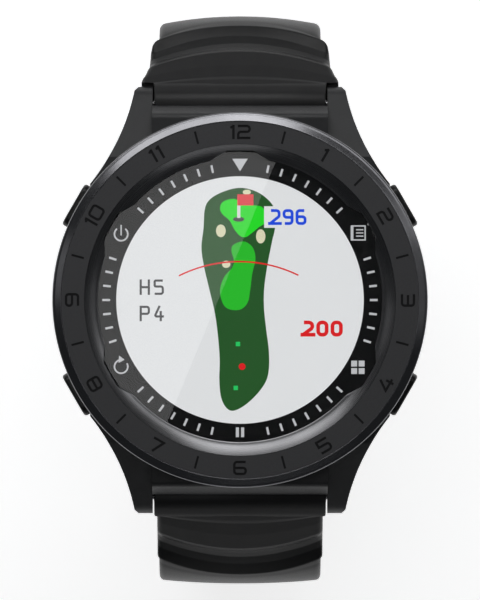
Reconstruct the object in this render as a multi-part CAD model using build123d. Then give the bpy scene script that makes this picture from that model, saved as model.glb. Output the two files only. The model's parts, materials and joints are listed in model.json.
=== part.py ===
from build123d import *
import os
from math import cos, degrees, radians, sin

os.makedirs("parts", exist_ok=True)

# A golf GPS watch, standing on its open strap with the dial up.
# Millimetres. +Z up, 12 o'clock towards +Y, 3 o'clock towards +X. The origin is on the table,
# straight under the middle of the dial.

# ---- Heights of the case, from the table ----
case_base = 57.0                      # outer face of the back cover
cover_thickness = 1.2
cover_spigot = 0.7                    # depth of the step that enters the case
case_top = case_base + 9.6            # where the bezel sits
case_floor = case_base + cover_thickness
bezel_height = 3.9
bezel_top = case_top + bezel_height

# ---- Case and bezel radii ----
bezel_radius = 23.1
bezel_rim_width = 0.36                # rounded rim, then a polished slope up to the insert
bezel_slope_drop = 0.35               # how far that slope falls from the lip to the rim
bezel_flare = 0.7                     # height over which the bezel widens above the case
bezel_skirt_radius = 19.0             # the part that stands in the case's mouth
insert_outer = 21.94
insert_inner = 19.17
insert_thickness = 0.5
insert_drop = 0.15                    # how far the insert lies under the bezel's lip
seat_gap = 0.06                       # between a part and the pocket it is glued into
slope_inner = 17.5
slope_thickness = 0.1                 # at the inner edge of the sloped ring
case_radius = 22.7
case_foot_radius = 21.5
case_foot_height = 4.5                # up to where the case reaches its full radius
case_foot_round = 0.8
cavity_radius = 18.6
cover_radius = 21.2

# ---- Lens and display ----
lens_radius = 18.4
lens_thickness = 1.2
lens_recess = 1.1                     # the lens's face below the bezel's lip
seal_thickness = 0.3
flange_thickness = 0.5
flange_inner = 16.6
panel_radius = 15.9
panel_thickness = 1.8
panel_gap = 0.1
frame_plate = 1.2
frame_clearance = 0.3                 # between the display's tray and the case

# ---- Sloped ring's notches ----
notch_hours = (12, 2, 4, 8, 10)
notch_depth_radius = 18.37
notch_narrow = 1.6                    # half width at the top
notch_wide = 3.0                      # half width at the inner edge

# ---- Engraving ----
numeral_radius = 20.65
numeral_half_height = 0.735
numeral_half_width = 0.70
numeral_stroke = 0.30
numeral_round = 0.34
numeral_gap = 0.29
engrave_depth = 0.18
tick_inner = 19.87
tick_outer = 21.45
tick_width = 0.26

# ---- Battery and electronics ----
battery_size = (22.0, 18.0, 2.9)
battery_round = 2.0
board_radius = 17.9
board_thickness = 0.7
board_height = case_base + 5.2
ledge_inner = 17.2
ledge_thickness = 1.0
boss_radius = 1.6
boss_circle = 16.2
boss_depth = 2.2
boss_angles = (60, 120, 240, 300)
board_screw_radius = 0.5
board_screw_head = 0.95
board_screw_head_height = 0.5
board_screw_length = 1.8
shield_size = (13.0, 11.0, 1.3)
antenna_size = (9.0, 9.0, 1.8)
motor_radius = 3.5
motor_thickness = 2.6
buzzer_thickness = 1.0
coin_offset = 13.2                    # middle of the motor and of the buzzer from the case's middle
flex_width = 8.0
flex_thickness = 0.15
flex_foot = -10.6                     # where the flat cable leaves the board
flex_back = -12.7                     # where it turns up to the display
switch_size = (1.4, 4.4, 2.1)
switch_face = 16.6
pin_radius = 0.7
pin_spacing = 2.4
pin_row = -8.0
pin_count = 4

# ---- Case screws and the cover's seal ----
screw_circle = 20.2
screw_angles = (45, 135, 225, 315)
screw_radius = 0.55
screw_head_radius = 1.05
screw_head_height = 0.7
screw_sink = 0.1
screw_length = 3.6
screw_socket = 0.4
board_screw_socket = 0.3
hole_room = 0.2                       # past the end of each screw
seal_inner = 18.75
seal_outer = 19.25

# ---- Buttons ----
button_angles = {"upper_right": 30, "lower_right": -30, "upper_left": 150, "lower_left": 210}
button_height = case_base + 7.0
button_face = 23.8                    # from the middle of the dial
button_length = 5.8
button_tall = 3.4
button_corner = 1.2
button_back = 21.85
button_gap = 0.15
button_edge = 0.35
stem_radius = 0.6
stem_end = 17.3
running_fit = 0.05
ring_bore = 1.03
ring_bore_floor = 19.2
ring_section = 0.27
ring_place = 20.3
ring_groove_radius = 0.45
spring_floor = 20.7
spring_bore = 1.26
spring_mean = 1.12
spring_wire = 0.1
spring_turns = 3.5
cap_bore = 1.35
cap_bore_floor = 22.9
pocket_floor = 20.9
clip_place = 18.3
clip_thickness = 0.3
clip_radius = 1.0
clip_groove_radius = 0.42
clip_opening = 0.6

# ---- Lugs and spring bars ----
hinge_y = 24.4
hinge_z = case_base + 3.3
lug_radius = 2.1
lug_slope_start = 60.0                # where the lug's round end meets its sloping top
lug_gap_half = 10.85
lug_half = 13.1
lug_corner = 0.5
flank_join = (18.5, 14.35)            # where the flank meets the round case
flank_middle = (15.35, 19.3)
wall_y = 24.1                         # case wall behind the strap
wall_shoulder = 23.0
wall_height = 6.0                     # of its upright face, from the case's base
wall_drop = 0.4                       # of its top, under the bezel
recess_radius = 2.55
bar_radius = 0.75
bar_half = 10.7
bar_wall = 0.2
bar_end_wall = 0.3                    # the tube's closed-in ends
tip_radius = 0.4
tip_reach = 12.0
tip_shoulder = 1.6
tip_hole_depth = 1.35
bar_spring_wire = 0.12
bar_spring_turns = 18.0

# ---- Strap ----
strap_heading = -42.0                 # the strap's direction at the lug, below the horizontal
strap_straight = 8.5
strap_bend = 10.8                     # centre line radius of the first bend
band_half = 10.3
band_thickness = 3.0
band_crown = 0.9
knuckle_radius = 2.3
knuckle_half = 10.65
knuckle_bore_gap = 0.08
shoulder_half = 12.35
shoulder_start = 2.65                 # from the hinge, clear of the lug's round end
shoulder_end = 2.9
waist_half = 11.5
waist_start = 4.6
waist_end_half = 10.95
valley_start = 7.1
valley_depth = 0.75
ridge_place = 11.3
ridge_foot = 0.9                      # where the ridge's front edge ends, above the centre line
buckle_curve = 25.0
buckle_straight = 10.0
buckle_length = 75.0
tail_upper_curve = 110.0
tail_upper_turn = 15.0
tail_thickness = 2.4
tail_crown = 0.5
foot_flat = 0.05                      # trimmed off under the tail, so that it stands on a true flat
tail_tip = 29.0                       # how far the tail's tip lies past the middle of the case
hole_radius = 1.35
hole_pitch = 6.0
hole_count = 8
hole_first = 14.0                     # from the tip

# ---- Buckle ----
buckle_pin_radius = 0.75
buckle_pin_half = 12.2
end_knuckle_radius = 2.1
end_knuckle_half = 10.2
tongue_slot_half = 1.7
tongue_slot_back = 4.2
frame_inner_half = 10.6
frame_outer_half = 12.6
frame_reach = 15.0
frame_bar = 2.8
frame_half_thick = 1.0
frame_eye = 1.6
frame_round = 2.0
tongue_half = 1.3
tongue_eye = 1.5
tongue_thick = 0.9
tongue_reach = 14.4
tongue_rest_gap = 0.1
tongue_crank = 3.4                    # where the tongue leaves its eye
tongue_rise = 8.0                     # where it starts up to the front bar
tongue_top = 10.5

# ---- Keepers ----
keeper_wall = 1.2
keeper_width = 5.0
keeper_gap = 0.35
keeper_room = 3.0                     # space for the tail under the strap
fixed_keeper_back = 9.0               # middle of the fixed keeper from the buckle's pin
free_keeper_angle = 26.0              # degrees along the curve from its end
keeper_round = 1.6
keeper_inner_round = 0.5
pin_chamfer = 0.1
lens_chamfer = 0.15


def write(name, solid):
    """Write one named piece."""
    export_step(solid, f"parts/{name}.step")


def turned(*corners):
    """A solid of revolution about the dial's axis, from (radius, height, rounding) corners."""
    points = [corner[:2] for corner in corners]
    rounds = [corner[2] if len(corner) > 2 else 0 for corner in corners]
    outline = FilletPolyline(*points, radius=rounds, close=True)
    return revolve(Plane.XZ * make_face(outline), Axis.Z)


def ring(outer, inner, low, high):
    """A flat ring about the dial's axis, between two heights."""
    return Pos(0, 0, low) * extrude(Circle(outer) - Circle(inner), high - low)


def disc(radius, low, high, x=0.0, y=0.0):
    """A round disc between two heights."""
    return Pos(x, y, low) * extrude(Circle(radius), high - low)


def block(size, low, x=0.0, y=0.0, rounding=0.0):
    """A box standing on a height, with its upright corners rounded."""
    outline = RectangleRounded(size[0], size[1], rounding) if rounding else Rectangle(size[0], size[1])
    return Pos(x, y, low) * extrude(outline, size[2])


def across(outline, half):
    """Extrude an outline drawn in (Y, Z) equally to both sides of the middle plane."""
    return extrude(Plane.YZ * make_face(outline), half, both=True)


def rod(radius, start, end):
    """A round rod along X between two places."""
    return Pos(start, 0, 0) * extrude(Plane.YZ * Circle(radius), end - start)


def coil(mean, wire, start, end, turns):
    """A coil spring along X, whose wire lies between two places."""
    height = end - start - 2 * wire
    line = Helix(height / turns, height, mean)
    section = Plane(origin=line @ 0, z_dir=line % 0) * Circle(wire)
    return Pos(start + wire, 0, 0) * Rot(0, 90, 0) * sweep(section, line, is_frenet=True)


def hour_turn(hour):
    """Rotation that carries a piece from 12 o'clock to an hour."""
    return Rot(0, 0, -30.0 * hour)


# ---- Case ----

def lug_outline():
    """Plan of the two lugs and the case between them, above the middle of the case."""
    tip_y = hinge_y + lug_radius
    right = [
        Line((0, 0), (flank_join[0], 0)),
        Line((flank_join[0], 0), flank_join),
        ThreePointArc(flank_join, flank_middle, (lug_half, tip_y - lug_corner)),
        Line((lug_half, tip_y - lug_corner), (lug_half - lug_corner, tip_y)),
        Line((lug_half - lug_corner, tip_y), (0, tip_y)),
    ]
    half = make_face(Curve() + right + Line((0, tip_y), (0, 0)))
    return half + mirror(half, Plane.YZ)


def lug_pair():
    """Both lugs at 12 o'clock: the plan cut to the lugs' side profile, and the wall between them."""
    end = radians(lug_slope_start)
    top = (hinge_y + lug_radius * cos(end), hinge_z + lug_radius * sin(end))
    run = top[0] - 12.0
    far = (12.0, top[1] + run / (sin(end) / cos(end)))
    low = (hinge_y, hinge_z - lug_radius)
    bulge = (hinge_y + lug_radius, hinge_z)
    side = Curve() + [Line((0, low[1]), low), ThreePointArc(low, bulge, top), Line(top, far)]
    side += [Line(far, (0, far[1])), Line((0, far[1]), (0, low[1]))]
    plan = Pos(0, 0, case_base) * extrude(lug_outline(), case_top - case_base)
    lugs = plan & across(side, 2 * lug_half)
    wall = FilletPolyline(
        (0, case_floor), (wall_y, case_floor), (wall_y, case_base + wall_height),
        (wall_shoulder, case_top - wall_drop), (0, case_top - wall_drop), radius=[0, 0, 0.5, 0.8, 0], close=True)
    return lugs + across(wall, lug_gap_half)


def strap_recess():
    """The room between the lugs for the strap's knuckle."""
    recess = Pos(0, hinge_y, hinge_z) * rod(recess_radius, -lug_gap_half, lug_gap_half)
    return recess + Pos(0, wall_y + 5.0, case_base + 5.0) * Box(2 * lug_gap_half, 10.0, 14.0)


def button_pocket():
    """Everything the case leaves out for one button, along X."""
    outline = RectangleRounded(
        button_length + 2 * button_gap, button_tall + 2 * button_gap, button_corner + button_gap)
    room = extrude(Plane.YZ * outline, 6.0)
    pocket = Pos(pocket_floor, 0, 0) * room
    pocket += rod(stem_radius + running_fit, cavity_radius - 1, spring_floor)
    pocket += rod(ring_bore, ring_bore_floor, spring_floor)
    pocket += rod(spring_bore, spring_floor, pocket_floor + 0.1)
    return pocket


def case_middle():
    body = turned(
        (0, case_floor), (case_foot_radius, case_floor, case_foot_round),
        (case_radius, case_base + case_foot_height, 2.0),
        (case_radius, case_top), (0, case_top))
    lugs = lug_pair()
    for turn in (0, 180):
        body += Rot(0, 0, turn) * lugs
        body -= Rot(0, 0, turn) * strap_recess()
    ledge = ring(cavity_radius + 0.1, ledge_inner, board_height - ledge_thickness, board_height)
    bosses = [
        Rot(0, 0, angle) * disc(boss_radius, board_height - boss_depth, board_height, boss_circle)
        for angle in boss_angles]
    body -= disc(cavity_radius, case_floor - 1, case_top + 1)
    inside = ledge
    for boss in bosses:
        inside += boss & disc(cavity_radius + 0.1, case_floor, case_top)
    body += inside
    for angle in boss_angles:
        body -= Rot(0, 0, angle) * disc(
            board_screw_radius, board_height - board_screw_length - hole_room, board_height + 1, boss_circle)
    for angle in screw_angles:
        body -= Rot(0, 0, angle) * disc(screw_radius, case_floor - 1, case_base + screw_length + hole_room, screw_circle)
    body -= ring(seal_outer, seal_inner, case_floor - 1, case_floor + 0.5)
    for angle in button_angles.values():
        body -= Rot(0, 0, angle) * Pos(0, 0, button_height) * button_pocket()
    for side in (1, -1):
        hole = rod(tip_radius + running_fit, -lug_gap_half - tip_hole_depth, lug_gap_half + tip_hole_depth)
        body -= Pos(0, side * hinge_y, hinge_z) * hole
    return body


def bezel_ring():
    flange_top = bezel_top - lens_recess - lens_thickness - seal_thickness
    lens_top = bezel_top - lens_recess
    pocket_floor_z = bezel_top - insert_drop - insert_thickness
    lip = insert_outer + seat_gap
    return turned(
        (flange_inner, flange_top - flange_thickness), (bezel_skirt_radius, flange_top - flange_thickness),
        (bezel_skirt_radius, case_top), (case_radius, case_top), (case_radius + 0.05, case_top + bezel_flare - 0.4),
        (bezel_radius, case_top + bezel_flare), (bezel_radius, bezel_top - bezel_slope_drop - 0.2, 0.3),
        (bezel_radius - bezel_rim_width, bezel_top - bezel_slope_drop), (lip, bezel_top),
        (lip, pocket_floor_z), (insert_inner, pocket_floor_z), (insert_inner, lens_top),
        (lens_radius + seat_gap, lens_top), (lens_radius + seat_gap, flange_top), (flange_inner, flange_top))


def digit_strokes(digit):
    """Centre lines of a digit, each a list of (x, y, rounding) points."""
    w = numeral_half_width
    h = numeral_half_height
    r = numeral_round
    lines = {
        "0": [[(-w, -h, r), (w, -h, r), (w, h, r), (-w, h, r), (-w, -h, r)]],
        "1": [[(-0.19, h - 0.22, 0), (0.19, h, 0)], [(0.19, h + 0.14, 0), (0.19, -h - 0.14, 0)]],
        "2": [[(-w - 0.05, h, 0), (w, h, r), (w, 0.02, r), (-w, 0.02, r), (-w, -h, 0), (w + 0.1, -h, 0)]],
        "3": [[(-w, h, 0), (w, h, r), (w, -h, r), (-w, -h, 0)], [(-w + 0.1, 0, 0), (w, 0, 0)]],
        "4": [[(0.15, h + 0.08, 0), (-w, -h + 0.3, 0), (w + 0.2, -h + 0.3, 0)],
              [(w - 0.25, h * 0.2, 0), (w - 0.25, -h - 0.14, 0)]],
        "5": [[(w, h, 0), (-w, h, 0), (-w, 0.05, 0), (w, 0.05, r), (w, -h, r), (-w - 0.05, -h, 0)]],
        "6": [[(w, h, 0), (-w, h, r), (-w, -h, r), (w, -h, r), (w, 0, r), (0, 0, 0)],
              [(0.1, 0, 0), (-w, 0, 0)]],
        "7": [[(-w, h, 0), (w, h, 0), (-0.1, -h - 0.1, 0)]],
        "8": [[(-w, -h, r), (w, -h, r), (w, h, r), (-w, h, r), (-w, -h, r)], [(-w, 0, 0), (w, 0, 0)]],
        "9": [[(-w, -h, 0), (w, -h, r), (w, h, r), (-w, h, r), (-w, 0, r), (0, 0, 0)],
              [(-0.1, 0, 0), (w, 0, 0)]],
    }
    return lines[digit]


def stroke(points):
    """One stroke of constant width along its centre line."""
    closed = points[0][:2] == points[-1][:2]
    corners = points[:-1] if closed else points
    places = [point[:2] for point in corners]
    if len(places) == 2:
        line = Line(*places)
    else:
        rounds = [point[2] for point in corners]
        line = FilletPolyline(*places, radius=rounds if closed else rounds[1:-1], close=closed)
    return trace(line, numeral_stroke)


def numeral(text):
    """A whole number, centred on the origin, standing along +Y."""
    widths = {"1": 0.68}
    full = 2 * numeral_half_width + numeral_stroke
    total = sum(widths.get(digit, full) for digit in text) + numeral_gap * (len(text) - 1)
    shapes = Sketch()
    x = -total / 2
    for digit in text:
        width = widths.get(digit, full)
        for points in digit_strokes(digit):
            shapes += Pos(x + width / 2, 0) * stroke(points)
        x += width + numeral_gap
    return shapes


def bezel_insert():
    """The numbered ring. 4 to 8 o'clock read from inside, the rest from outside."""
    top = bezel_top - insert_drop
    body = ring(insert_outer, insert_inner + 0.02, top - insert_thickness, top)
    marks = Sketch()
    for hour in range(1, 13):
        upright = Rot(0, 0, 180) if 4 <= hour <= 8 else Rot(0, 0, 0)
        marks += hour_turn(hour) * Pos(0, numeral_radius) * upright * numeral(str(hour))
        tick = Rectangle(tick_width, tick_outer - tick_inner)
        marks += hour_turn(hour + 0.5) * Pos(0, (tick_outer + tick_inner) / 2) * tick
    return body - Pos(0, 0, top - engrave_depth) * extrude(marks, engrave_depth + 0.1)


def slope_ring():
    """The sloped ring inside the numbers, with its notches."""
    low = bezel_top - lens_recess
    top = bezel_top - insert_drop
    outer = insert_inner - 0.03
    body = turned(
        (slope_inner, low), (slope_inner, low + slope_thickness),
        (slope_inner + 0.75, low + slope_thickness + 0.22, 1.5), (outer - 0.12, top), (outer, top), (outer, low))
    outline = Polygon(
        (-notch_wide, slope_inner - 0.6), (notch_wide, slope_inner - 0.6),
        (notch_narrow, notch_depth_radius), (-notch_narrow, notch_depth_radius), align=None)
    cutter = Pos(0, 0, low - 1) * extrude(outline, 4.0)
    for hour in notch_hours:
        body -= hour_turn(hour) * cutter
    return body


def lens():
    top = bezel_top - lens_recess
    return chamfer(disc(lens_radius, top - lens_thickness, top).edges().group_by(Axis.Z)[-1], lens_chamfer)


def lens_seal():
    top = bezel_top - lens_recess - lens_thickness
    return ring(lens_radius - 0.1, flange_inner + 0.2, top - seal_thickness, top)


def panel_top_height():
    return bezel_top - lens_recess - lens_thickness - panel_gap


def display_panel():
    top = panel_top_height()
    return disc(panel_radius, top - panel_thickness, top)


def display_frame():
    """Tray that holds the panel and hangs from the bezel's flange."""
    floor = panel_top_height() - panel_thickness
    rim_top = bezel_top - lens_recess - lens_thickness - seal_thickness - flange_thickness
    body = ring(cavity_radius - frame_clearance, panel_radius + 0.1, floor, rim_top)
    body += disc(cavity_radius - frame_clearance, floor - frame_plate, floor)
    slot = Pos(0, flex_back + 0.1, floor - frame_plate / 2) * Box(flex_width + 0.6, 1.2, 2 * frame_plate)
    return body - slot


# ---- Inside the case ----

def back_cover():
    body = turned(
        (0, case_base), (cover_radius - 0.5, case_base, 0.3), (cover_radius, case_floor - 0.3, 0.2),
        (cover_radius, case_floor), (cavity_radius - 0.15, case_floor),
        (cavity_radius - 0.15, case_floor + cover_spigot), (0, case_floor + cover_spigot))
    for angle in screw_angles:
        turn = Rot(0, 0, angle)
        body -= turn * disc(screw_radius + 0.1, case_base - 1, case_floor + 1, screw_circle)
        top = case_base + screw_sink + screw_head_height
        body -= turn * disc(screw_head_radius + 0.05, case_base - 1, top, screw_circle)
    for place in pin_places():
        body -= disc(pin_radius + 0.02, case_base - 1, case_floor + 2, place, pin_row)
    return body


def pin_places():
    return [pin_spacing * (number - (pin_count - 1) / 2) for number in range(pin_count)]


def charging_pins():
    top = case_floor + cover_spigot
    pins = [disc(pin_radius, case_base, top, place, pin_row) for place in pin_places()]
    return Compound(children=pins)


def screw(radius, head_radius, head_height, length, socket):
    """A screw along -Z whose head's top is at the origin."""
    body = disc(head_radius, -head_height, 0) + disc(radius, -length, -head_height)
    return body - Pos(0, 0, -socket) * extrude(RegularPolygon(head_radius * 0.5, 6), socket + 0.1)


def back_screws():
    solids = []
    for angle in screw_angles:
        one = screw(screw_radius, screw_head_radius, screw_head_height, screw_length - screw_sink, screw_socket)
        upside = Pos(screw_circle, 0, case_base + screw_sink) * Rot(180, 0, 0) * one
        solids.append(Rot(0, 0, angle) * upside)
    return Compound(children=solids)


def board_screws():
    solids = []
    head_top = board_height + board_thickness + board_screw_head_height
    for angle in boss_angles:
        length = board_screw_head_height + board_thickness + board_screw_length
        one = screw(board_screw_radius, board_screw_head, board_screw_head_height, length, board_screw_socket)
        solids.append(Rot(0, 0, angle) * Pos(boss_circle, 0, head_top) * one)
    return Compound(children=solids)


def back_seal():
    return ring(seal_outer, seal_inner, case_floor, case_floor + 0.45)


def battery():
    return block(battery_size, case_floor + cover_spigot, rounding=battery_round)


def main_board():
    body = disc(board_radius, board_height, board_height + board_thickness)
    for angle in boss_angles:
        body -= Rot(0, 0, angle) * disc(board_screw_radius + 0.05, board_height - 1, board_height + 2, boss_circle)
    return body


def board_shield():
    return block(shield_size, board_height + board_thickness, y=-3.5, rounding=0.6)


def gps_antenna():
    return block(antenna_size, board_height + board_thickness, y=7.5)


def vibration_motor():
    low = case_floor + cover_spigot
    return disc(motor_radius, low, low + motor_thickness, 0, -coin_offset)


def buzzer():
    low = case_floor + cover_spigot
    return disc(motor_radius, low, low + buzzer_thickness, 0, coin_offset)


def display_flex():
    """Flat cable from the board up through the tray to the back of the panel."""
    low = board_height + board_thickness
    high = panel_top_height() - panel_thickness
    t = flex_thickness
    outline = Polyline(
        (flex_foot, low), (flex_back, low), (flex_back, high - t), (flex_back + 0.2, high),
        (flex_back + 0.2, low + t), (flex_foot, low + t), close=True)
    return across(outline, flex_width / 2)


def button_switches():
    solids = []
    low = board_height + board_thickness
    for angle in button_angles.values():
        middle = switch_face - switch_size[0] / 2
        solids.append(Rot(0, 0, angle) * block(switch_size, low, middle))
    return Compound(children=solids)


# ---- Buttons ----

def placed(angle, solid):
    """Carry a piece drawn along X to a button's place."""
    return Rot(0, 0, angle) * Pos(0, 0, button_height) * solid


def button():
    outline = RectangleRounded(button_length, button_tall, button_corner)
    cap = extrude(Plane.YZ * outline, button_face - button_back)
    cap = Pos(button_back, 0, 0) * cap
    cap = fillet(cap.edges().group_by(Axis.X)[-1], button_edge)
    cap -= rod(cap_bore, button_back - 1, cap_bore_floor)
    stem = rod(stem_radius, stem_end, cap_bore_floor + 0.1)
    stem -= rod(2.0, ring_place - 0.32, ring_place + 0.32) - rod(ring_groove_radius, 0, 30)
    stem -= rod(2.0, clip_place - 0.17, clip_place + 0.17) - rod(clip_groove_radius, 0, 30)
    return cap + stem


def button_seal():
    middle = ring_groove_radius + 0.01 + ring_section
    return Pos(ring_place, 0, 0) * Rot(0, 90, 0) * Torus(middle, ring_section)


def button_clip():
    half = clip_thickness / 2
    body = rod(clip_radius, clip_place - half, clip_place + half)
    body -= rod(clip_groove_radius + 0.02, 0, 30)
    return body - Pos(clip_place, 0, -clip_radius) * Box(1, clip_opening, 2 * clip_radius)


def button_spring():
    return coil(spring_mean, spring_wire, spring_floor, cap_bore_floor, spring_turns)


# ---- Spring bars ----

def spring_bar():
    """The tube of one spring bar, closed in at both ends round the tips' pins."""
    tube = rod(bar_radius, -bar_half, bar_half) - rod(bar_radius - bar_wall, -bar_half + bar_end_wall, bar_half - bar_end_wall)
    return tube - rod(tip_radius + running_fit, -bar_half - 1, bar_half + 1)


def tip_inner_end():
    return bar_half - bar_end_wall - running_fit - tip_shoulder


def spring_bar_tip():
    shoulder = rod(bar_radius - bar_wall - running_fit, tip_inner_end(), tip_inner_end() + tip_shoulder)
    pin = rod(tip_radius, tip_inner_end() + tip_shoulder / 2, tip_reach)
    pin = chamfer(pin.edges().group_by(Axis.X)[-1], pin_chamfer)
    return shoulder + pin


def spring_bar_spring():
    end = tip_inner_end() - 0.02
    mean = bar_radius - bar_wall - running_fit - bar_spring_wire - 0.03
    return coil(mean, bar_spring_wire, -end, end, bar_spring_turns)


# ---- Strap ----

def at_hinge(solid):
    """Carry a piece drawn from the hinge outwards along +Y to the 12 o'clock hinge."""
    return Pos(0, hinge_y, hinge_z) * Rot(strap_heading, 0, 0) * solid


def walk(moves):
    """Follow straights and bends in the (Y, Z) plane from the 12 o'clock hinge.

    A move is (length, None) for a straight, or (turn in degrees, radius) for a bend
    towards the wrist. Returns the edges, and the place and heading at the end of each.
    """
    y, z, heading = hinge_y, hinge_z, strap_heading
    edges = []
    stations = [(y, z, heading)]
    for amount, radius in moves:
        if radius is None:
            y1 = y + amount * cos(radians(heading))
            z1 = z + amount * sin(radians(heading))
            edges.append(Line((0, y, z), (0, y1, z1)))
            y, z = y1, z1
        else:
            cy = y + radius * sin(radians(heading))
            cz = z - radius * cos(radians(heading))
            points = []
            for share in (0.0, 0.5, 1.0):
                spot = radians(heading + 90 - amount * share)
                points.append((0, cy + radius * cos(spot), cz + radius * sin(spot)))
            edges.append(ThreePointArc(*points))
            y, z = points[2][1:]
            heading -= amount
        stations.append((y, z, heading))
    return edges, stations


def station_frame(station):
    """Frame at a place on the strap: X across, Y along it, Z away from the wrist."""
    y, z, heading = station
    return Pos(0, y, z) * Rot(heading, 0, 0)


def band(edges, half, thickness, crown):
    """A strap of constant section along the path, crowned on its outer face."""
    first = edges[0]
    low = -thickness / 2
    edge = thickness / 2 - crown
    outline = Curve() + [
        Line((-half, low), (half, low)), Line((half, low), (half, edge)),
        ThreePointArc((half, edge), (0, thickness / 2), (-half, edge)), Line((-half, edge), (-half, low))]
    plane = Plane(origin=first @ 0, x_dir=(-1, 0, 0), z_dir=first % 0)
    return sweep(plane * make_face(outline), Curve() + edges)


def strap_head():
    """The thick end at the lug: knuckle, shoulders, hollow and ridge, drawn along +Y."""
    r = knuckle_radius
    step = ridge_place + 0.6
    under = -band_thickness / 2
    side = Curve() + [
        Line((0, r), (valley_start, r)),
        ThreePointArc((valley_start, r), ((valley_start + ridge_place) / 2, r - valley_depth), (ridge_place, r)),
        Line((ridge_place, r), (step, ridge_foot)), Line((step, ridge_foot), (step - 1.0, under - 0.35)),
        Line((step - 1.0, under - 0.35), (strap_straight, under)),
        Line((strap_straight, under), (0, -r)), Line((0, -r), (0, r))]
    plan = Polygon(
        (-shoulder_half, 0), (shoulder_half, 0), (shoulder_half, shoulder_end), (waist_half, waist_start),
        (waist_end_half, ridge_place), (waist_end_half - 0.1, step + 1), (-waist_end_half + 0.1, step + 1),
        (-waist_end_half, ridge_place), (-waist_half, waist_start), (-shoulder_half, shoulder_end), align=None)
    head = across(side, shoulder_half) & Pos(0, 0, -5) * extrude(plan, 10)
    clearance = rod(shoulder_start, -2 * shoulder_half, 2 * shoulder_half) - rod(shoulder_start + 1, -knuckle_half, knuckle_half)
    head -= clearance
    head += rod(r, -knuckle_half, knuckle_half)
    return head


def finish_head(strap):
    """Bore the knuckle for its spring bar."""
    bore = rod(bar_radius + knuckle_bore_gap, -2 * shoulder_half, 2 * shoulder_half)
    return strap - Pos(0, hinge_y, hinge_z) * bore


def bend_turn():
    """Turn of the first bend: from the lug's heading to straight down."""
    return 90.0 + strap_heading


def buckle_moves():
    used = strap_straight + strap_bend * radians(bend_turn()) + buckle_straight
    turn = degrees((buckle_length - used) / buckle_curve)
    return [(strap_straight, None), (bend_turn(), strap_bend), (turn, buckle_curve), (buckle_straight, None)]


def tail_middle():
    """Height of the tail's centre line where it lies on the table."""
    return tail_thickness / 2 - foot_flat


def tail_moves():
    """Down from the bulge in a long bend, then a tighter one that lands on the table.

    The first bend is a little wider than the buckle half's, so that both halves, which differ in
    thickness, bulge out equally far.
    """
    thinner = (band_thickness - tail_thickness) / 2
    first_bend = strap_bend + thinner / (1 - sin(radians(-strap_heading)))
    start = walk([(strap_straight, None), (bend_turn(), first_bend)])[1][-1]
    drop = tail_upper_curve * sin(radians(tail_upper_turn))
    left = start[1] - drop - tail_middle()
    rest_turn = 90.0 - tail_upper_turn
    lower_curve = left / (1 - cos(radians(rest_turn)))
    moves = [(strap_straight, None), (bend_turn(), first_bend)]
    moves += [(tail_upper_turn, tail_upper_curve), (rest_turn, lower_curve)]
    landing = walk(moves)[1][-1][0]
    return moves + [(tail_tip + landing, None)]


def buckle_end():
    """Place and heading of the buckle's pin, on the 12 o'clock half."""
    return walk(buckle_moves())[1][-1]


def strap_buckle_side():
    edges = walk(buckle_moves())[0]
    strap = band(edges, band_half, band_thickness, band_crown)
    strap -= station_frame((hinge_y, hinge_z, strap_heading)) * Box(40, 8, 10)
    strap += at_hinge(strap_head())
    end = station_frame(buckle_end())
    strap += end * rod(end_knuckle_radius, -end_knuckle_half, end_knuckle_half)
    side_cut = Pos(0, 0.6, 0) * (Box(60, 6, 10) - Box(2 * end_knuckle_half, 8, 10))
    strap -= end * side_cut
    strap -= end * Pos(0, (5 - tongue_slot_back) / 2, 0) * Box(2 * tongue_slot_half, 5 + tongue_slot_back, 10)
    strap -= end * rod(buckle_pin_radius + 0.02, -40, 40)
    return finish_head(strap)


def strap_tail_side():
    """The long half, with its row of holes and its rounded tip."""
    moves = tail_moves()
    edges, stations = walk(moves)
    strap = band(edges, band_half, tail_thickness, tail_crown)
    strap -= station_frame((hinge_y, hinge_z, strap_heading)) * Box(40, 8, 10)
    strap += at_hinge(strap_head())
    tip_y = stations[-1][0]
    outline = Rectangle(2 * band_half + 4, band_half, align=(Align.CENTER, Align.MIN))
    outline -= Pos(0, band_half) * Circle(band_half)
    strap -= Pos(0, tip_y, -1) * extrude(outline, 6)
    strap -= Pos(0, 0, -1) * Box(100, 100, 2)
    for number in range(hole_count):
        place = tip_y + hole_first + number * hole_pitch
        landing = stations[-2][0]
        if place < landing:
            frame = Pos(0, place, tail_middle())
        else:
            length = place - landing
            turn, radius = moves[-2]
            start = stations[-2]
            angle = degrees(length / radius)
            cy, cz = start[0], radius + tail_middle()
            spot = radians(-90 + angle)
            frame = Pos(0, cy + radius * cos(spot), cz + radius * sin(spot)) * Rot(angle, 0, 0)
        strap -= frame * Pos(0, 0, -5) * extrude(Circle(hole_radius), 10)
    return Rot(0, 0, 180) * finish_head(strap)


# ---- Keepers ----

def keeper():
    """A loop round the strap with room for the tail on its outer side. Y is along the strap."""
    inner_half = band_half + keeper_gap
    low = -band_thickness / 2 - keeper_gap
    high = band_thickness / 2 + keeper_room
    middle = (low + high) / 2
    tall = high - low
    outline = RectangleRounded(2 * (inner_half + keeper_wall), tall + 2 * keeper_wall, keeper_round)
    outline -= RectangleRounded(2 * inner_half, tall, keeper_inner_round)
    return Pos(0, 0, middle) * extrude(Plane.XZ * outline, keeper_width / 2, both=True)


def fixed_keeper():
    """Moulded to the strap, so it also fills the gap round it."""
    y, z, heading = buckle_end()
    back = fixed_keeper_back
    station = (y - back * cos(radians(heading)), z - back * sin(radians(heading)), heading)
    return station_frame(station) * keeper()


def curve_centre():
    """Centre of the curve that the free keeper slides round."""
    stations = walk(buckle_moves())[1]
    y, z = stations[2][:2]
    return y - buckle_curve, z


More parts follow.
